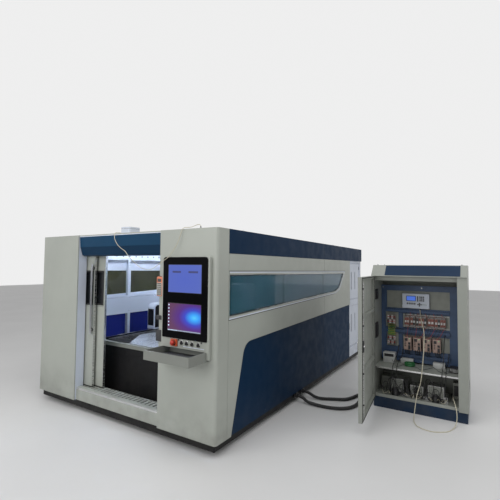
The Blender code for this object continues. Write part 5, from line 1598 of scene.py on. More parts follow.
class CUTTER_OT_relays(Operator):
    """Face the relays and contactors with covers, windows and terminals"""

    bl_idname = "cutter.relays"
    bl_label = "Relays"

    def execute(self, context):
        faces, black, white, screws = shapes(relay_covers="relay_red", relay_sockets="module_black",
                                             relay_windows="module_white", relay_screws="bright flat")
        low, high = RELAY_Z
        for index, (left, width, depth) in enumerate(RELAYS):
            face = GEAR_BACK - depth
            count = max(1, round(width / 0.03))
            step = width / count
            for unit in range(count):
                x = left + unit * step + 0.0012
                end = x + step - 0.0024
                cover = black if (unit + index) % 3 == 2 else faces
                block(cover, (x, end), proud(face, 0.004), (low + 0.026, high - 0.026), 0.0016, 2)
                block(white, (x + 0.004, end - 0.004), (face - 0.0052, face - 0.0042),
                      (low + 0.052, high - 0.06), 0.0004)
                for edge in (low + 0.003, high - 0.021):
                    block(black, (x, end), proud(face, 0.0022), (edge, edge + 0.018), 0.0008)
                    for part in (0.28, 0.72):
                        sx = x + (end - x) * part
                        stud(screws, "Y", (face - 0.0022, face - 0.0034), sx, edge + 0.009, 0.0034, 0.0034,
                             10)
        return settle()


class CUTTER_OT_drives(Operator):
    """Face the drives with covers, vents, plugs and cooling fins"""

    bl_idname = "cutter.drives"
    bl_label = "Drives"

    def execute(self, context):
        covers, dark, plugs, lamps = shapes(drive_covers="drive_face", drive_vents="module_black",
                                            drive_plugs="module_black", drive_lamps="drive_lamp")
        low, high = DRIVE_Z
        face = GEAR_BACK - DRIVE_DEPTH
        for left in DRIVES:
            right = left + DRIVE_W
            block(covers, (left + 0.002, right - 0.002), proud(face, 0.008), (low + 0.002, high - 0.002),
                  0.003, 2)
            block(dark, (left + 0.01, right - 0.044), (face - 0.0092, face - 0.0082),
                  (high - 0.05, high - 0.014), 0.0008)
            for z in steps(high - 0.072, -0.022, 3):
                block(dark, (left + 0.01, left + 0.028), (face - 0.0092, face - 0.0082), (z, z + 0.012),
                      0.0006)
            block(plugs, (right - 0.036, right - 0.01), (face - 0.013, face - 0.0082),
                  (low + 0.012, low + 0.062), 0.0012)
            block(plugs, (right - 0.036, right - 0.01), (face - 0.013, face - 0.0082),
                  (low + 0.072, low + 0.1), 0.0012)
            stud(lamps, "Y", (face - 0.008, face - 0.0098), right - 0.02, high - 0.018, 0.003, 0.003, 10)
            for y in steps(face + 0.008, 0.0105, 9):
                for x, out in ((left, -1.0), (right, 1.0)):
                    block(dark, between(x, out, FIT, 0.0008), (y, y + 0.005), (low + 0.03, high - 0.03),
                          0.0002)
        return settle()


def wiring(name, routes, radius, finish):
    """Fixed wires, one spline a route, with both ends on their terminals."""
    data = round_curve(name, radius, 2)
    for route in routes:
        add_spline(data, route, 0.012)
    add_item(name, data, finish, ROOT, None)


def hanging(start, end, sag, out=0.0):
    """A wire's route between two points: short straight legs, and a sagging middle."""
    first, last = Vector(start), Vector(end)
    middle = first.lerp(last, 0.5) + Vector((0.0, -out, -sag))
    quarter = first.lerp(middle, 0.5) + Vector((0.0, -out * 0.4, -sag * 0.25))
    three = middle.lerp(last, 0.5) + Vector((0.0, -out * 0.4, -sag * 0.25))
    lead = Vector((0.0, -0.01, 0.0))
    return [tuple(first), tuple(first + lead), tuple(quarter), tuple(middle), tuple(three),
            tuple(last + lead), tuple(last)]


SHELF_TOP = 0.4833
SHELF_Y = (2.1403, 2.6397)


class CUTTER_OT_shelf_gear(Operator):
    """Set the boxes and the coil on the shelf, and give the shelf its bright nose"""

    bl_idname = "cutter.shelf_gear"
    bl_label = "Shelf"

    def execute(self, context):
        white, dark, nose, coil = shapes(shelf_boxes="module_white", shelf_black_boxes="module_black",
                                         shelf_nose="bright", shelf_coil="terminal_green")
        block(white, (0.89, 1.035), (2.4, 2.505), (SHELF_TOP, 0.61), 0.004, 2)
        block(dark, (0.905, 1.02), (2.399, 2.3997), (0.56, 0.596), 0.001)
        block(white, (1.09, 1.24), (2.47, 2.5255), (SHELF_TOP, 0.548), 0.004, 2)
        block(white, (1.47, 1.6), (2.42, 2.52), (SHELF_TOP, 0.545), 0.004, 2)
        block(dark, (1.655, 1.748), (2.3, 2.45), (SHELF_TOP, 0.54), 0.004, 2)
        for x in steps(1.666, 0.013, 6):
            block(white, (x, x + 0.005), (2.2994, 2.2999), (0.495, 0.53), 0.0004)
        block(nose, (CABINET_INNER_X[0], CABINET_INNER_X[1]), proud(SHELF_Y[0], 0.0012), (0.466, 0.4825),
              0.0006)
        for turn in range(7):
            major = 0.052 + 0.0035 * (turn % 3)
            z = SHELF_TOP + 0.0052 + turn * 0.0062
            section = [(major + 0.0042 * math.cos(math.radians(45 * k)),
                        0.0042 * math.sin(math.radians(45 * k))) for k in range(9)]
            lathe(coil, section, (1.215, 2.365, z), 36, (0.04 * (turn % 2), 0.03, 1.0))
        return settle()


FLOOR_Z = 0.1473
SUPPLIES = [(1.02, 1.16, 0.19), (1.24, 1.38, 0.14), (1.43, 1.6, 0.17)]
SUPPLY_FRONT = 2.25


class CUTTER_OT_supplies(Operator):
    """Give the supplies below the shelf their mesh, its holes in painted shade, and their terminals, coils and fans"""

    bl_idname = "cutter.supplies"
    bl_label = "Power supplies"

    def execute(self, context):
        dark, plates, coils, screws, fan = shapes(supply_vents="module_black flat", supply_covers="bay_grey",
                                                  supply_coils="conduit", supply_screws="bright",
                                                  supply_fan="module_black flat")
        for left, right, height in SUPPLIES:
            top = FLOOR_Z + height
            face = SUPPLY_FRONT
            block(plates, (left + 0.004, right - 0.004), proud(face, 0.002), (FLOOR_Z + 0.045, top - 0.004),
                  0.001)
            # The mesh's holes are dark dots: painted shade.
            for row in range(6):
                for column in range(8):
                    x = left + 0.02 + column * (right - left - 0.04) / 7
                    z = FLOOR_Z + 0.062 + row * (height - 0.084) / 5
                    stud(dark, "Y", (face - 0.002, face - 0.0024), x, z, 0.0042, 0.0042, 6)
            block(dark, (left + 0.008, right - 0.008), proud(face, 0.018), (FLOOR_Z + 0.01, FLOOR_Z + 0.04),
                  0.002)
            for step in range(7):
                x = left + 0.02 + step * (right - left - 0.04) / 6
                stud(screws, "Y", (face - 0.018, face - 0.02), x, FLOOR_Z + 0.025, 0.005, 0.0045, 10)
        for x in (1.075, 1.515):
            for z in steps(FLOOR_Z + 0.004, 0.0085, 9):
                section = [(0.034 + 0.0036 * math.cos(math.radians(60 * k)),
                            0.0036 * math.sin(math.radians(60 * k))) for k in range(7)]
                lathe(coils, section, (x, 2.19, z), 28)
            stud(dark, "Z", (FLOOR_Z, FLOOR_Z + 0.09), x, 2.19, 0.027, 0.027, 20)
        centre = (1.31, SUPPLY_FRONT - 0.02, FLOOR_Z + 0.093)
        ring_outline = [(centre[0] + 0.036 * math.cos(math.radians(k * 15)),
                         centre[2] + 0.036 * math.sin(math.radians(k * 15))) for k in range(24)]
        ring(fan, ring_outline, moved_outline(ring_outline, -0.004), "Y", SUPPLY_FRONT - 0.02,
             SUPPLY_FRONT - 0.0024)
        stud(fan, "Y", (SUPPLY_FRONT - 0.018, SUPPLY_FRONT - 0.0024), centre[0], centre[2], 0.012, 0.012, 20)
        for blade in range(7):
            angle = math.tau * blade / 7
            near = Vector((centre[0], centre[2])) + Vector((math.cos(angle), math.sin(angle))) * 0.0115
            far = Vector((centre[0], centre[2])) + Vector((math.cos(angle + 0.35),
                                                           math.sin(angle + 0.35))) * 0.03
            side = (far - near).orthogonal().normalized() * 0.0045
            slab(fan, [tuple(near - side), tuple(far - side), tuple(far + side), tuple(near + side)], "Y",
                 SUPPLY_FRONT - 0.012, SUPPLY_FRONT - 0.01)
        block(plates, (1.68, 1.745), (2.47, 2.6), (FLOOR_Z, 0.33), 0.004, 2)
        block(dark, (1.69, 1.735), (2.464, 2.4697), (0.18, 0.3), 0.002)
        block(plates, (0.86, 0.985), (2.43, 2.56), (FLOOR_Z, 0.3), 0.004, 2)
        return settle()


class CUTTER_OT_wiring(Operator):
    """Run the black, red and pale wires between the rails, the shelf and the floor"""

    bl_idname = "cutter.wiring"
    bl_label = "Wiring"

    def execute(self, context):
        black, red, pale, thick = [], [], [], []
        for index in range(14):
            x = 1.15 + index * 0.034
            drive = DRIVES[min(3, index // 4)] + 0.018 + (index % 4) * 0.016
            route = hanging((x, 2.49, 0.956), (drive, 2.438, 0.824), 0.02 + 0.006 * (index % 3),
                            0.02 + 0.007 * (index % 4))
            (red if index % 3 == 1 else black).append(route)
        for index in range(10):
            x = 1.16 + index * 0.045
            end = (x + (0.02 if index % 2 else -0.015), 2.502, 1.088)
            (red if index % 2 else black).append(hanging((x, 2.508, 1.128), end, 0.004,
                                                         0.02 + 0.004 * (index % 3)))
        for index in range(6):
            low = (0.936 + index * 0.016, 2.48, 0.98)
            high = (0.975 + index * 0.03, 2.508, 0.91)
            black.append(hanging(low, high, 0.018, 0.03))
        for index, drive in enumerate(DRIVES):
            for part in (0.024, 0.05, 0.07):
                start = (drive + part, 2.434, 0.672)
                end = (drive + part + 0.01 * (index - 1), 2.506, 0.602)
                thick.append(hanging(start, end, 0.012, 0.018 + 0.2 * (part - 0.02)))
        shelf = SHELF_Y[0] - 0.012
        for x, top, foot in ((1.068, 0.7, 1.01), (1.115, 0.65, 1.19), (1.6, 0.88, 1.56), (1.64, 0.66, 1.63)):
            thick.append([
                (x, 2.512, top), (x, 2.495, top), (x - 0.004, 2.43, top - 0.08), (x - 0.006, 2.25, 0.56),
                (x - 0.008, shelf - 0.008, 0.5), (x - 0.012, shelf - 0.012, 0.42), (x - 0.02, 2.15, 0.3),
                (foot, 2.185, 0.215), (foot, 2.23, FLOOR_Z + 0.03), (foot, 2.232, FLOOR_Z + 0.026),
            ])
        for x, end, z in ((1.7, 1.56, 0.52), (1.69, 1.48, 0.51), (1.02, 1.16, 0.54), (1.235, 1.48, 0.5)):
            black.append([
                (x, 2.33, z), (x, 2.32, z), (x * 0.7 + end * 0.3, 2.27, 0.5), ((x + end) / 2, 2.24, 0.488),
                (x * 0.3 + end * 0.7, 2.28, 0.49), (end, 2.4, 0.5), (end, 2.41, 0.502),
            ])
        for index in range(9):
            x = 0.9 + index * 0.088
            end = x + 0.09 - 0.05 * (index % 3)
            pale.append([(x, 2.235, FLOOR_Z + 0.03), (x, 2.225, FLOOR_Z + 0.031),
                         (x + 0.03, 2.18, FLOOR_Z + 0.05),
                         ((x + end) / 2, 2.16, FLOOR_Z + 0.012 + 0.01 * (index % 4)),
                         (end - 0.02, 2.19, FLOOR_Z + 0.02), (end, 2.225, FLOOR_Z + 0.028),
                         (end, 2.235, FLOOR_Z + 0.03)])
        for index in range(14):
            x = 0.875 + index * 0.046
            reach = 0.06 + 0.035 * (index % 3)
            high = 0.25 + 0.045 * (index * 5 % 4)
            thick.append([
                (x, 2.235, FLOOR_Z + 0.03), (x, 2.222, FLOOR_Z + 0.034), (x + 0.01, 2.185, FLOOR_Z + 0.09),
                (x + reach * 0.3, 2.2, high), (x + reach * 0.8, 2.175, high - 0.01),
                (x + reach, 2.16, FLOOR_Z + 0.07), (x + reach + 0.02, 2.19, FLOOR_Z + 0.016),
                (x + reach + 0.03, 2.225, FLOOR_Z + 0.024), (x + reach + 0.03, 2.235, FLOOR_Z + 0.028),
            ])
        wiring("control_wires", black, 0.0022, "module_black")
        wiring("signal_wires", red, 0.002, "switch_red")
        wiring("floor_wires", pale, 0.0028, "pale_lead")
        wiring("power_wires", thick, 0.0042, "conduit")
        return {"FINISHED"}


DOOR_PIVOT = (0.838, 2.088)
DOOR_ANGLE = math.radians(-84.6)
DOOR_POCKETS = [(0.1572, 0.595), (0.625, 1.17), (1.2, 1.5695)]
DOOR_LEFT = 0.017
DOOR_RIGHT = 0.885
DOOR_BACK = 0.027
DOOR_SKIN = -0.007


def swung(shape):
    """Turn a form laid out on the closed cabinet door to where the open door stands."""
    matrix = (
        Matrix.Translation(place(*DOOR_PIVOT, 0.0)) @ Matrix.Rotation(DOOR_ANGLE, 4, "Z")
        @ Matrix.Translation(-SHIFT)
    )
    bmesh.ops.transform(shape, matrix=matrix, verts=shape.verts)


class CUTTER_OT_cabinet_door(Operator):
    """Add the cabinet door's inner skin, gasket, lock and hinges"""

    bl_idname = "cutter.cabinet_door"
    bl_label = "Cabinet door"

    def execute(self, context):
        skins, gasket, bright, dark = shapes("cabinet_front_door", door_skins="door_skin_grey",
                                             door_gasket="seam", door_lock_rods="bright",
                                             door_lock_case="plastic")
        for low, high in DOOR_POCKETS:
            block(skins, (DOOR_LEFT + 0.001, DOOR_RIGHT - 0.001), (DOOR_SKIN + FIT, DOOR_SKIN + 0.0012),
                  (low + 0.001, high - 0.001), 0.0005)
        edge = rectangle((0.04, 0.908), (0.134, 1.593), 0.006, 3)
        ring(gasket, edge, moved_outline(edge, -0.009), "Y", DOOR_BACK + FIT, DOOR_BACK + 0.004)
        block(dark, (0.845, 0.893), (DOOR_BACK + FIT, DOOR_BACK + 0.012), (0.83, 0.95), 0.003, 2)
        stud(bright, "Y", (DOOR_BACK + 0.0122, DOOR_BACK + 0.019), 0.869, 0.89, 0.012, 0.011, 20)
        block(bright, (0.862, 0.876), (DOOR_BACK + 0.0192, DOOR_BACK + 0.0225), (0.85, 0.93), 0.0015)
        for low, high in ((0.18, 0.828), (0.952, 1.55)):
            stud(bright, "Z", (low, high), 0.869, DOOR_BACK + 0.0075, 0.0045, 0.0045, 12)
        for z in (0.3, 0.615, 1.1, 1.48):
            block(dark, (0.861, 0.877), (DOOR_BACK + FIT, DOOR_BACK + 0.013), about(z, 0.008), 0.0015)
        front = -0.013
        block(dark, (0.835, 0.875), proud(front, 0.01), (0.82, 0.96), 0.004, 2)
        block(bright, (0.846, 0.864), (front - 0.017, front - 0.0102), (0.835, 0.93), 0.003, 2)
        stud(bright, "Y", (front - 0.0102, front - 0.0125), 0.855, 0.946, 0.007, 0.007, 16)
        for z in (0.2, 0.87, 1.53):
            studs(bright, "Y", (DOOR_BACK + FIT, DOOR_BACK + 0.003), steps(0.004, 0.014, 2), [z + 0.018],
                  0.004, 0.003, 6)
        for shape in (skins, gasket, bright, dark):
            swung(shape)
        return settle()


CABINET_X = (0.825, 1.854)
CABINET_Y = (2.12, 2.66)
CABINET_Z = (0.127, 1.735)


class CUTTER_OT_cabinet_shell(Operator):
    """Add seams, louvres in painted shade, eyes and screws to the cabinet's sides, back and roof"""

    bl_idname = "cutter.cabinet_shell"
    bl_label = "Cabinet shell"

    def execute(self, context):
        jamb, seams, bolts, louvres = shapes(jamb_terminals="module_black", cabinet_seams="seam flat",
                                             cabinet_bolts="bright", cabinet_louvres="seam flat")
        for x, out in ((CABINET_X[0], -1.0), (CABINET_X[1], 1.0)):
            for y in (2.155, 2.63):
                block(seams, between(x, out, 0.0004, 0.0001), about(y, 0.001), (0.15, 1.59))
            # Louvre slots as dark strips: painted shade.
            for z in (0.3, 1.35):
                for high in steps(z, 0.016, 8):
                    block(louvres, between(x, out, 0.0001, 0.0004), (2.3, 2.48), (high, high + 0.006))
        back = CABINET_Y[1]
        panel = rectangle((CABINET_X[0] + 0.03, CABINET_X[1] - 0.03), (0.16, 1.7), 0.01, 3)
        ring(seams, panel, moved_outline(panel, -0.002), "Y", back + 0.0001, back + 0.0004)
        studs(bolts, "Y", (back + FIT, back + 0.004), (0.87, 1.34, 1.81), (0.18, 0.7, 1.22, 1.68), 0.006,
              0.005, 6)
        for x in (0.875, 1.804):
            for y in (2.22, 2.61):
                stud(bolts, "Z", (CABINET_Z[1] + FIT, CABINET_Z[1] + 0.006), x, y, 0.012, 0.012, 6)
                stud(bolts, "Z", (CABINET_Z[1] + 0.006, CABINET_Z[1] + 0.012), x, y, 0.008, 0.007, 16)
        block(seams, (1.7566, 1.7569), (2.0755, 2.119), (0.15, 1.59))
        for low, high in ((0.82, 1.01), (1.3, 1.43)):
            block(jamb, (0.8453 + FIT, 0.858), (2.16, 2.3), (low, high), 0.003, 2)
            block(jamb, (0.8583, 0.872), (2.185, 2.25), (low + 0.02, high - 0.03), 0.004, 2)
        return settle()


# Service doors, roof, rear, base


SERVICE_FACE = -0.0303
SERVICE_Y = (3.904, 4.5797)
SERVICE_DOORS = {"lower_service_door": (0.284, 1.016), "upper_service_door": (1.124, 1.776)}


class CUTTER_OT_service_doors(Operator):
    """Paint shade into the service doors' slots and add their handles and hinges"""

    bl_idname = "cutter.service_doors"
    bl_label = "Service doors"

    def execute(self, context):
        for body, (low, high) in SERVICE_DOORS.items():
            slots, handle, hinges = [bmesh.new() for _ in range(3)]
            for y in steps(SERVICE_Y[0] + 0.18, 0.22, 2):
                # Each slot is a dark strip on the door's face: painted shade.
                block(slots, (-0.0402, -0.0399), about(y, 0.0195), (high - 0.4795, high - 0.1605))
                for z in steps(high - 0.44, 0.08, 4):
                    block(handle, (-0.0396, -0.0345), about(y, 0.0195), about(z, 0.003), 0.001)
            middle = (low + high) / 2
            y = SERVICE_Y[0] + 0.045
            block(hinges, (SERVICE_FACE + FIT, SERVICE_FACE + 0.005), about(y, 0.016),
                  about(middle, 0.055), 0.002, 2)
            block(handle, (SERVICE_FACE + 0.0052, SERVICE_FACE + 0.01), about(y, 0.006),
                  (middle - 0.042, middle + 0.028), 0.002, 2)
            stud(handle, "X", (SERVICE_FACE + 0.005, SERVICE_FACE + 0.008), y, middle + 0.04, 0.0055, 0.005,
                 16)
            for z in (low + 0.09, high - 0.09):
                block(hinges, (SERVICE_FACE + FIT, SERVICE_FACE + 0.0015),
                      (SERVICE_Y[1] - 0.04, SERVICE_Y[1] - 0.0115), about(z, 0.03), 0.0006)
            edge = rectangle((SERVICE_Y[0] + 0.01, SERVICE_Y[1] - 0.02), (low + 0.01, high - 0.01), 0.004, 2)
            ring(hinges, edge, moved_outline(edge, -0.0015), "X", SERVICE_FACE + 0.0001,
                 SERVICE_FACE + 0.0004)
            piece(f"{body}_slots", slots, "seam", body, smooth=False)
            piece(f"{body}_handle", handle, "bright", body)
            piece(f"{body}_hinges", hinges, "plastic", body)
        return {"FINISHED"}


REAR_Y = 4.65
REAR_DOORS = [(-2.7, -1.48), (-1.34, -0.12)]


class CUTTER_OT_rear(Operator):
    """Mark the rear wall's doors, latches and screws, and its louvre slots in painted shade"""

    bl_idname = "cutter.rear"
    bl_label = "Rear wall"

    def execute(self, context):
        seams, louvres, latches, screws = shapes(rear_seams="seam flat", rear_louvres="seam flat",
                                                 rear_latches="plastic flat", rear_screws="steel flat")
        skin = (REAR_Y + 0.0001, REAR_Y + 0.0004)
        for left, right in REAR_DOORS:
            edge = rectangle((left, right), (0.2, 1.96), 0.02, 4)
            ring(seams, edge, moved_outline(edge, -0.0035), "Y", *skin)
            # Louvre slots as dark strips: painted shade.
            for row in range(16):
                for z in (0.33 + row * 0.016, 1.64 + row * 0.016):
                    block(louvres, (left + 0.35, right - 0.35), skin, (z, z + 0.0065))
            studs(screws, "Y", skin, (left + 0.035, right - 0.035), (0.235, 1.08, 1.925), 0.008, 0.008, 16)
        for x in (REAR_DOORS[0][1] - 0.06, REAR_DOORS[1][0] + 0.06):
            plate = rectangle(about(x, 0.024), (1.0, 1.15), 0.01, 4)
            slab(latches, plate, "Y", *skin)
        studs(screws, "Y", skin, steps(-2.79, 0.251, 12), (0.15, 2.022), 0.006, 0.006, 12)
        return settle()


class CUTTER_OT_roof(Operator):
    """Lay the roof's seams, lifting eyes and exhaust flange, with painted shade in the exhaust's opening, and dress
    the roof box
    """

    bl_idname = "cutter.roof"
    bl_label = "Roof"

    def execute(self, context):
        seams, eyes, flange, vents, box = shapes(roof_seams="seam flat", roof_fixings="steel",
                                                 exhaust_flange="interior", exhaust_floor="seam",
                                                 roof_box_fixings="bright")
        skin = (ROOF_TOP + 0.0001, ROOF_TOP + 0.0005)
        for y in (0.72, 1.7, 2.68, 3.66):
            block(seams, (-2.79, -0.03), about(y, 0.0015), skin)
            for x in (-2.7, -2.055, -1.41, -0.765, -0.12):
                for side in (-0.022, 0.022):
                    stud(eyes, "Z", (ROOF_TOP + FIT, ROOF_TOP + 0.0035), x, y + side, 0.006, 0.005, 6)
        for x in (-2.5, -0.32):
            for y in (0.9, 3.9):
                lathe(eyes, [(0.0, 0.0), (0.03, 0.0), (0.03, 0.006), (0.018, 0.01), (0.0, 0.01)],
                      (x, y, ROOF_TOP + FIT), 28)
                circle = [(0.022 + 0.0065 * math.cos(math.radians(45 * k)),
                           0.0065 * math.sin(math.radians(45 * k))) for k in range(9)]
                lathe(eyes, circle, (x, y, ROOF_TOP + 0.036), 28, (0, 1, 0))
        centre = (-1.41, 3.9)
        lathe(flange, [(0.13, 0.0), (0.165, 0.0), (0.165, 0.004), (0.137, 0.004), (0.137, 0.06),
                       (0.14, 0.064), (0.14, 0.07), (0.13, 0.07), (0.13, 0.0)], (*centre, ROOF_TOP + FIT), 48)
        # A dark disc inside the flange for the exhaust's opening: painted shade.
        lathe(vents, [(0.0, 0.0), (0.1296, 0.0), (0.1296, 0.003), (0.0, 0.003)], (*centre, ROOF_TOP + FIT),
              48)
        for step in range(8):
            angle = math.tau * step / 8
            x, y = centre[0] + 0.151 * math.cos(angle), centre[1] + 0.151 * math.sin(angle)
            stud(eyes, "Z", (ROOF_TOP + 0.0046, ROOF_TOP + 0.0085), x, y, 0.006, 0.005, 6)
        lid = rectangle((-1.6395, -1.4805), (0.2505, 0.4195), 0.0295, 5)
        ring(seams, moved_outline(lid, 0.0008), moved_outline(lid, 0.0004), "Z", 2.129, 2.131)
        studs(box, "Z", (2.1496, 2.15), (-1.615, -1.505), (0.275, 0.395), 0.005, 0.005, 12)
        for x in (-1.6, -1.52):
            block(box, about(x, 0.012), (0.232, 0.2497), (ROOF_TOP + FIT, ROOF_TOP + 0.004), 0.001)
            stud(box, "Z", (ROOF_TOP + 0.004, ROOF_TOP + 0.0075), x, 0.2395, 0.005, 0.004, 6)
        return settle()


PANEL_STEP = 0.012


class CUTTER_OT_rims(Operator):
    """Shade the foot of each window rim and pick out its lit edge"""

    bl_idname = "cutter.rims"
    bl_label = "Rim edges"

    def execute(self, context):
        dark, lit, trim = shapes(rim_shadow_lines="seam flat", rim_lit_edges="interior flat",
                                 side_screws="navy")
        opening = rounded(WINDOW, WINDOW_RADII)
        for side, out in SIDES:
            outer = [(max(y, 0.1782), z) for y, z in moved_outline(opening, 0.035)]
            inner = [(max(y, 0.1784), z) for y, z in moved_outline(opening, 0.0283)]
            ring(dark, outer, inner, "X", *between(side, out, 0.0001, 0.0004))
            face = side + out * 0.006
            outer = [(max(y, 0.179), z) for y, z in moved_outline(opening, 0.0262)]
            inner = [(max(y, 0.1792), z) for y, z in moved_outline(opening, 0.015)]
            ring(lit, outer, inner, "X", *between(face, out, 0.0001, 0.0004))
            step = side - out * PANEL_STEP
            studs(trim, "X", (step + out * 0.0001, step + out * 0.0022), (0.9, 1.7, 2.5, 3.3), (0.16, 0.88),
                  0.006, 0.005, 6)
        return settle()


class CUTTER_OT_base(Operator):
    """Put pads and lock rings on the feet, and bolts along the base"""

    bl_idname = "cutter.base"
    bl_label = "Base"

    def execute(self, context):
        pads, rings, bolts = shapes(foot_pads="plastic", foot_lock_rings="steel", base_bolts="black")
        for y in (0.25, 1.6, 3.05, 4.4):
            for x in (-2.66, -0.16):
                lathe(pads, [(0.0453, 0.0), (0.054, 0.0), (0.054, 0.006), (0.05, 0.01), (0.0453, 0.01),
                             (0.0453, 0.0)], (x, y, 0.0002), 32)
                lathe(rings, [(0.0453, 0.0), (0.056, 0.0), (0.056, 0.008), (0.0453, 0.008), (0.0453, 0.0)],
                      (x, y, 0.03), 6)
        for x, out in ((-0.04, 1.0), (-2.78, -1.0)):
            studs(bolts, "X", (x + out * FIT, x + out * 0.0048), steps(0.12, 0.258, 18), [0.098], 0.0065,
                  0.0055, 6)
        studs(bolts, "Y", (0.04 - FIT, 0.0352), steps(-2.7, 0.287, 10), [0.098], 0.0065, 0.0055, 6)
        return settle()


def sleeve(shape, start, direction, radius, length):
    """The tapered sleeve that a cord passes through where it leaves its gland."""
    bore = radius + 0.0004
    lathe(shape, [(bore, 0.0), (radius * 2.1, 0.0), (radius * 2.1, length * 0.25), (radius * 1.35, length),
                  (bore, length), (bore, 0.0)], start, 24, direction)


class CUTTER_OT_sleeves(Operator):
    """Fit a sleeve where each cord leaves the machine or the cabinet"""

    bl_idname = "cutter.sleeves"
    bl_label = "Cord sleeves"

    def execute(self, context):
        sizes = context.scene.cutter_sizes
        thin, wide, nuts = shapes(thin_cord_sleeves="plastic", conduit_sleeves="conduit",
                                  conduit_nuts="steel")
        gap = 0.0004
        sleeve(thin, (LEAD_START[0] + gap, *LEAD_START[1:]), (1, 0, 0), sizes.lead_radius, 0.016)
        sleeve(thin, (LEAD_END[0], LEAD_END[1], LEAD_END[2] + gap), (0, 0, 1), sizes.lead_radius, 0.013)
        sleeve(thin, (FLEX_ROUTE[0][0], FLEX_ROUTE[0][1], FLEX_ROUTE[0][2] - gap), (0, 0, -1),
               sizes.flex_radius, 0.013)
        sleeve(thin, (FLEX_ROUTE[-1][0], FLEX_ROUTE[-1][1], FLEX_ROUTE[-1][2] + gap), (0, 0, 1),
               sizes.flex_radius, 0.016)
        for route in CONDUIT_ROUTES.values():
            bore = sizes.conduit_radius + 0.0006
            for end, out in ((route[0], 1.0), (route[-1], -1.0)):
                profile = [(bore, 0.0), (0.03, 0.0), (0.03, 0.012), (0.0265, 0.016), (0.0265, 0.026),
                           (bore, 0.028), (bore, 0.0)]
                lathe(wide, profile, (end[0] + out * gap, end[1], end[2]), 32, (out, 0, 0))
                lathe(nuts, [(0.0264, 0.0), (0.0345, 0.0), (0.0345, 0.006), (0.0264, 0.006), (0.0264, 0.0)],
                      (end[0] - out * 0.012, end[1], end[2]), 6, (out, 0, 0))
        return settle()


# Studio


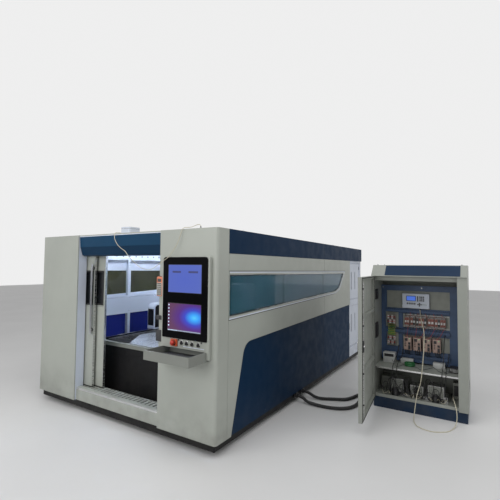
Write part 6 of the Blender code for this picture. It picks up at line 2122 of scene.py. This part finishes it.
class CUTTER_OT_studio(Operator):
    """Set up the floor, the lights and the camera"""

    bl_idname = "cutter.studio"
    bl_label = "Studio"

    def execute(self, context):
        studio = context.scene.cutter_studio
        make = Recipe("studio_floor")
        tone = make.tones(studio.floor, 0.97, 1.02, 0.7, 4.0)
        shape = bmesh.new()
        bmesh.ops.create_grid(shape, x_segments=2, y_segments=2, size=30.0)
        mesh = bpy.data.meshes.new("studio_floor")
        shape.to_mesh(mesh)
        shape.free()
        mesh.materials.append(make.finish({"Base Color": tone, "Roughness": 0.55}))
        floor = bpy.data.objects.new("studio_floor", mesh)
        context.scene.collection.objects.link(floor)
        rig.stage(floor)

        def area(name, spot, aim, size, power, colour=(1.0, 1.0, 1.0)):
            data = bpy.data.lights.new(name, "AREA")
            data.shape = "RECTANGLE"
            data.size, data.size_y = size
            data.energy = power
            data.color = colour
            lamp = bpy.data.objects.new(name, data)
            lamp.location = spot
            lamp.rotation_euler = (Vector(aim) - Vector(spot)).to_track_quat("-Z", "Y").to_euler()
            context.scene.collection.objects.link(lamp)

        area("key_light", (1.0, -3.5, 6.5), (0.0, 0.0, 0.8), (7.0, 5.0), studio.key_power)
        area("fill_light", (-1.5, -8.0, 3.2), (-0.6, 0.0, 1.0), (5.0, 3.0), studio.fill_power)
        area("side_light", (7.5, 0.5, 3.6), (0.6, 0.4, 0.9), (5.0, 3.0), studio.side_power)

        world = bpy.data.worlds.new("studio_world")
        world.use_nodes = True
        tree = world.node_tree
        background = tree.nodes["Background"]
        background.inputs["Color"].default_value = (1.0, 1.0, 1.0, 1.0)
        path = tree.nodes.new("ShaderNodeLightPath")
        seen = path.outputs["Is Camera Ray"]
        for ray in ("Is Glossy Ray", "Is Transmission Ray"):
            either = tree.nodes.new("ShaderNodeMath")
            either.operation = "MAXIMUM"
            tree.links.new(seen, either.inputs[0])
            tree.links.new(path.outputs[ray], either.inputs[1])
            seen = either.outputs["Value"]
        strength = tree.nodes.new("ShaderNodeMapRange")
        strength.inputs["To Min"].default_value = studio.world
        strength.inputs["To Max"].default_value = 0.86
        tree.links.new(seen, strength.inputs["Value"])
        tree.links.new(strength.outputs["Result"], background.inputs["Strength"])
        context.scene.world = world

        data = bpy.data.cameras.new("camera")
        data.lens = studio.lens
        data.sensor_width = 36.0
        data.clip_end = 200.0
        camera = bpy.data.objects.new("camera", data)
        level = math.radians(90)
        camera.matrix_world = (
            Matrix.Translation(studio.camera) @ Matrix.Rotation(studio.yaw, 4, "Z")
            @ Matrix.Rotation(level + studio.pitch, 4, "X") @ Matrix.Rotation(studio.roll, 4, "Z")
        )
        context.scene.collection.objects.link(camera)
        context.scene.camera = camera
        context.scene.view_settings.view_transform = "Standard"
        return {"FINISHED"}


OPERATORS = [
    value for name, value in list(globals().items())
    if name.startswith("CUTTER_OT_") and value is not CUTTER_OT_studio
] + [CUTTER_OT_studio]


class CUTTER_PT_sidebar(Panel):
    """Lists the steps and the values that they use"""

    bl_idname = "CUTTER_PT_sidebar"
    bl_label = "Laser Cutter Looks"
    bl_space_type = "VIEW_3D"
    bl_region_type = "UI"
    bl_category = "Cutter"

    def draw(self, context):
        layout = self.layout
        for operator in OPERATORS:
            layout.operator(operator.bl_idname)
        for group in (context.scene.cutter_paint, context.scene.cutter_sizes, context.scene.cutter_studio):
            box = layout.box()
            for name in group.__annotations__:
                box.prop(group, name)


CLASSES = [CutterPaint, CutterStudio, CutterSizes, *OPERATORS, CUTTER_PT_sidebar]


def register():
    for item in CLASSES:
        bpy.utils.register_class(item)
    bpy.types.Scene.cutter_paint = PointerProperty(type=CutterPaint)
    bpy.types.Scene.cutter_studio = PointerProperty(type=CutterStudio)
    bpy.types.Scene.cutter_sizes = PointerProperty(type=CutterSizes)


def unregister():
    del bpy.types.Scene.cutter_paint
    del bpy.types.Scene.cutter_studio
    del bpy.types.Scene.cutter_sizes
    for item in reversed(CLASSES):
        bpy.utils.unregister_class(item)


def plain(box):
    return [[round(float(value), 5) for value in corner] for corner in box]


def main():
    register()
    for operator in OPERATORS:
        group, name = operator.bl_idname.split(".")
        getattr(getattr(bpy.ops, group), name)()
    sizes = {"cad": plain(CAD_BOX), "visual": plain(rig.bounds())}
    with open("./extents.json", "w") as handle:
        json.dump(sizes, handle)


if __name__ == "__main__":
    main()
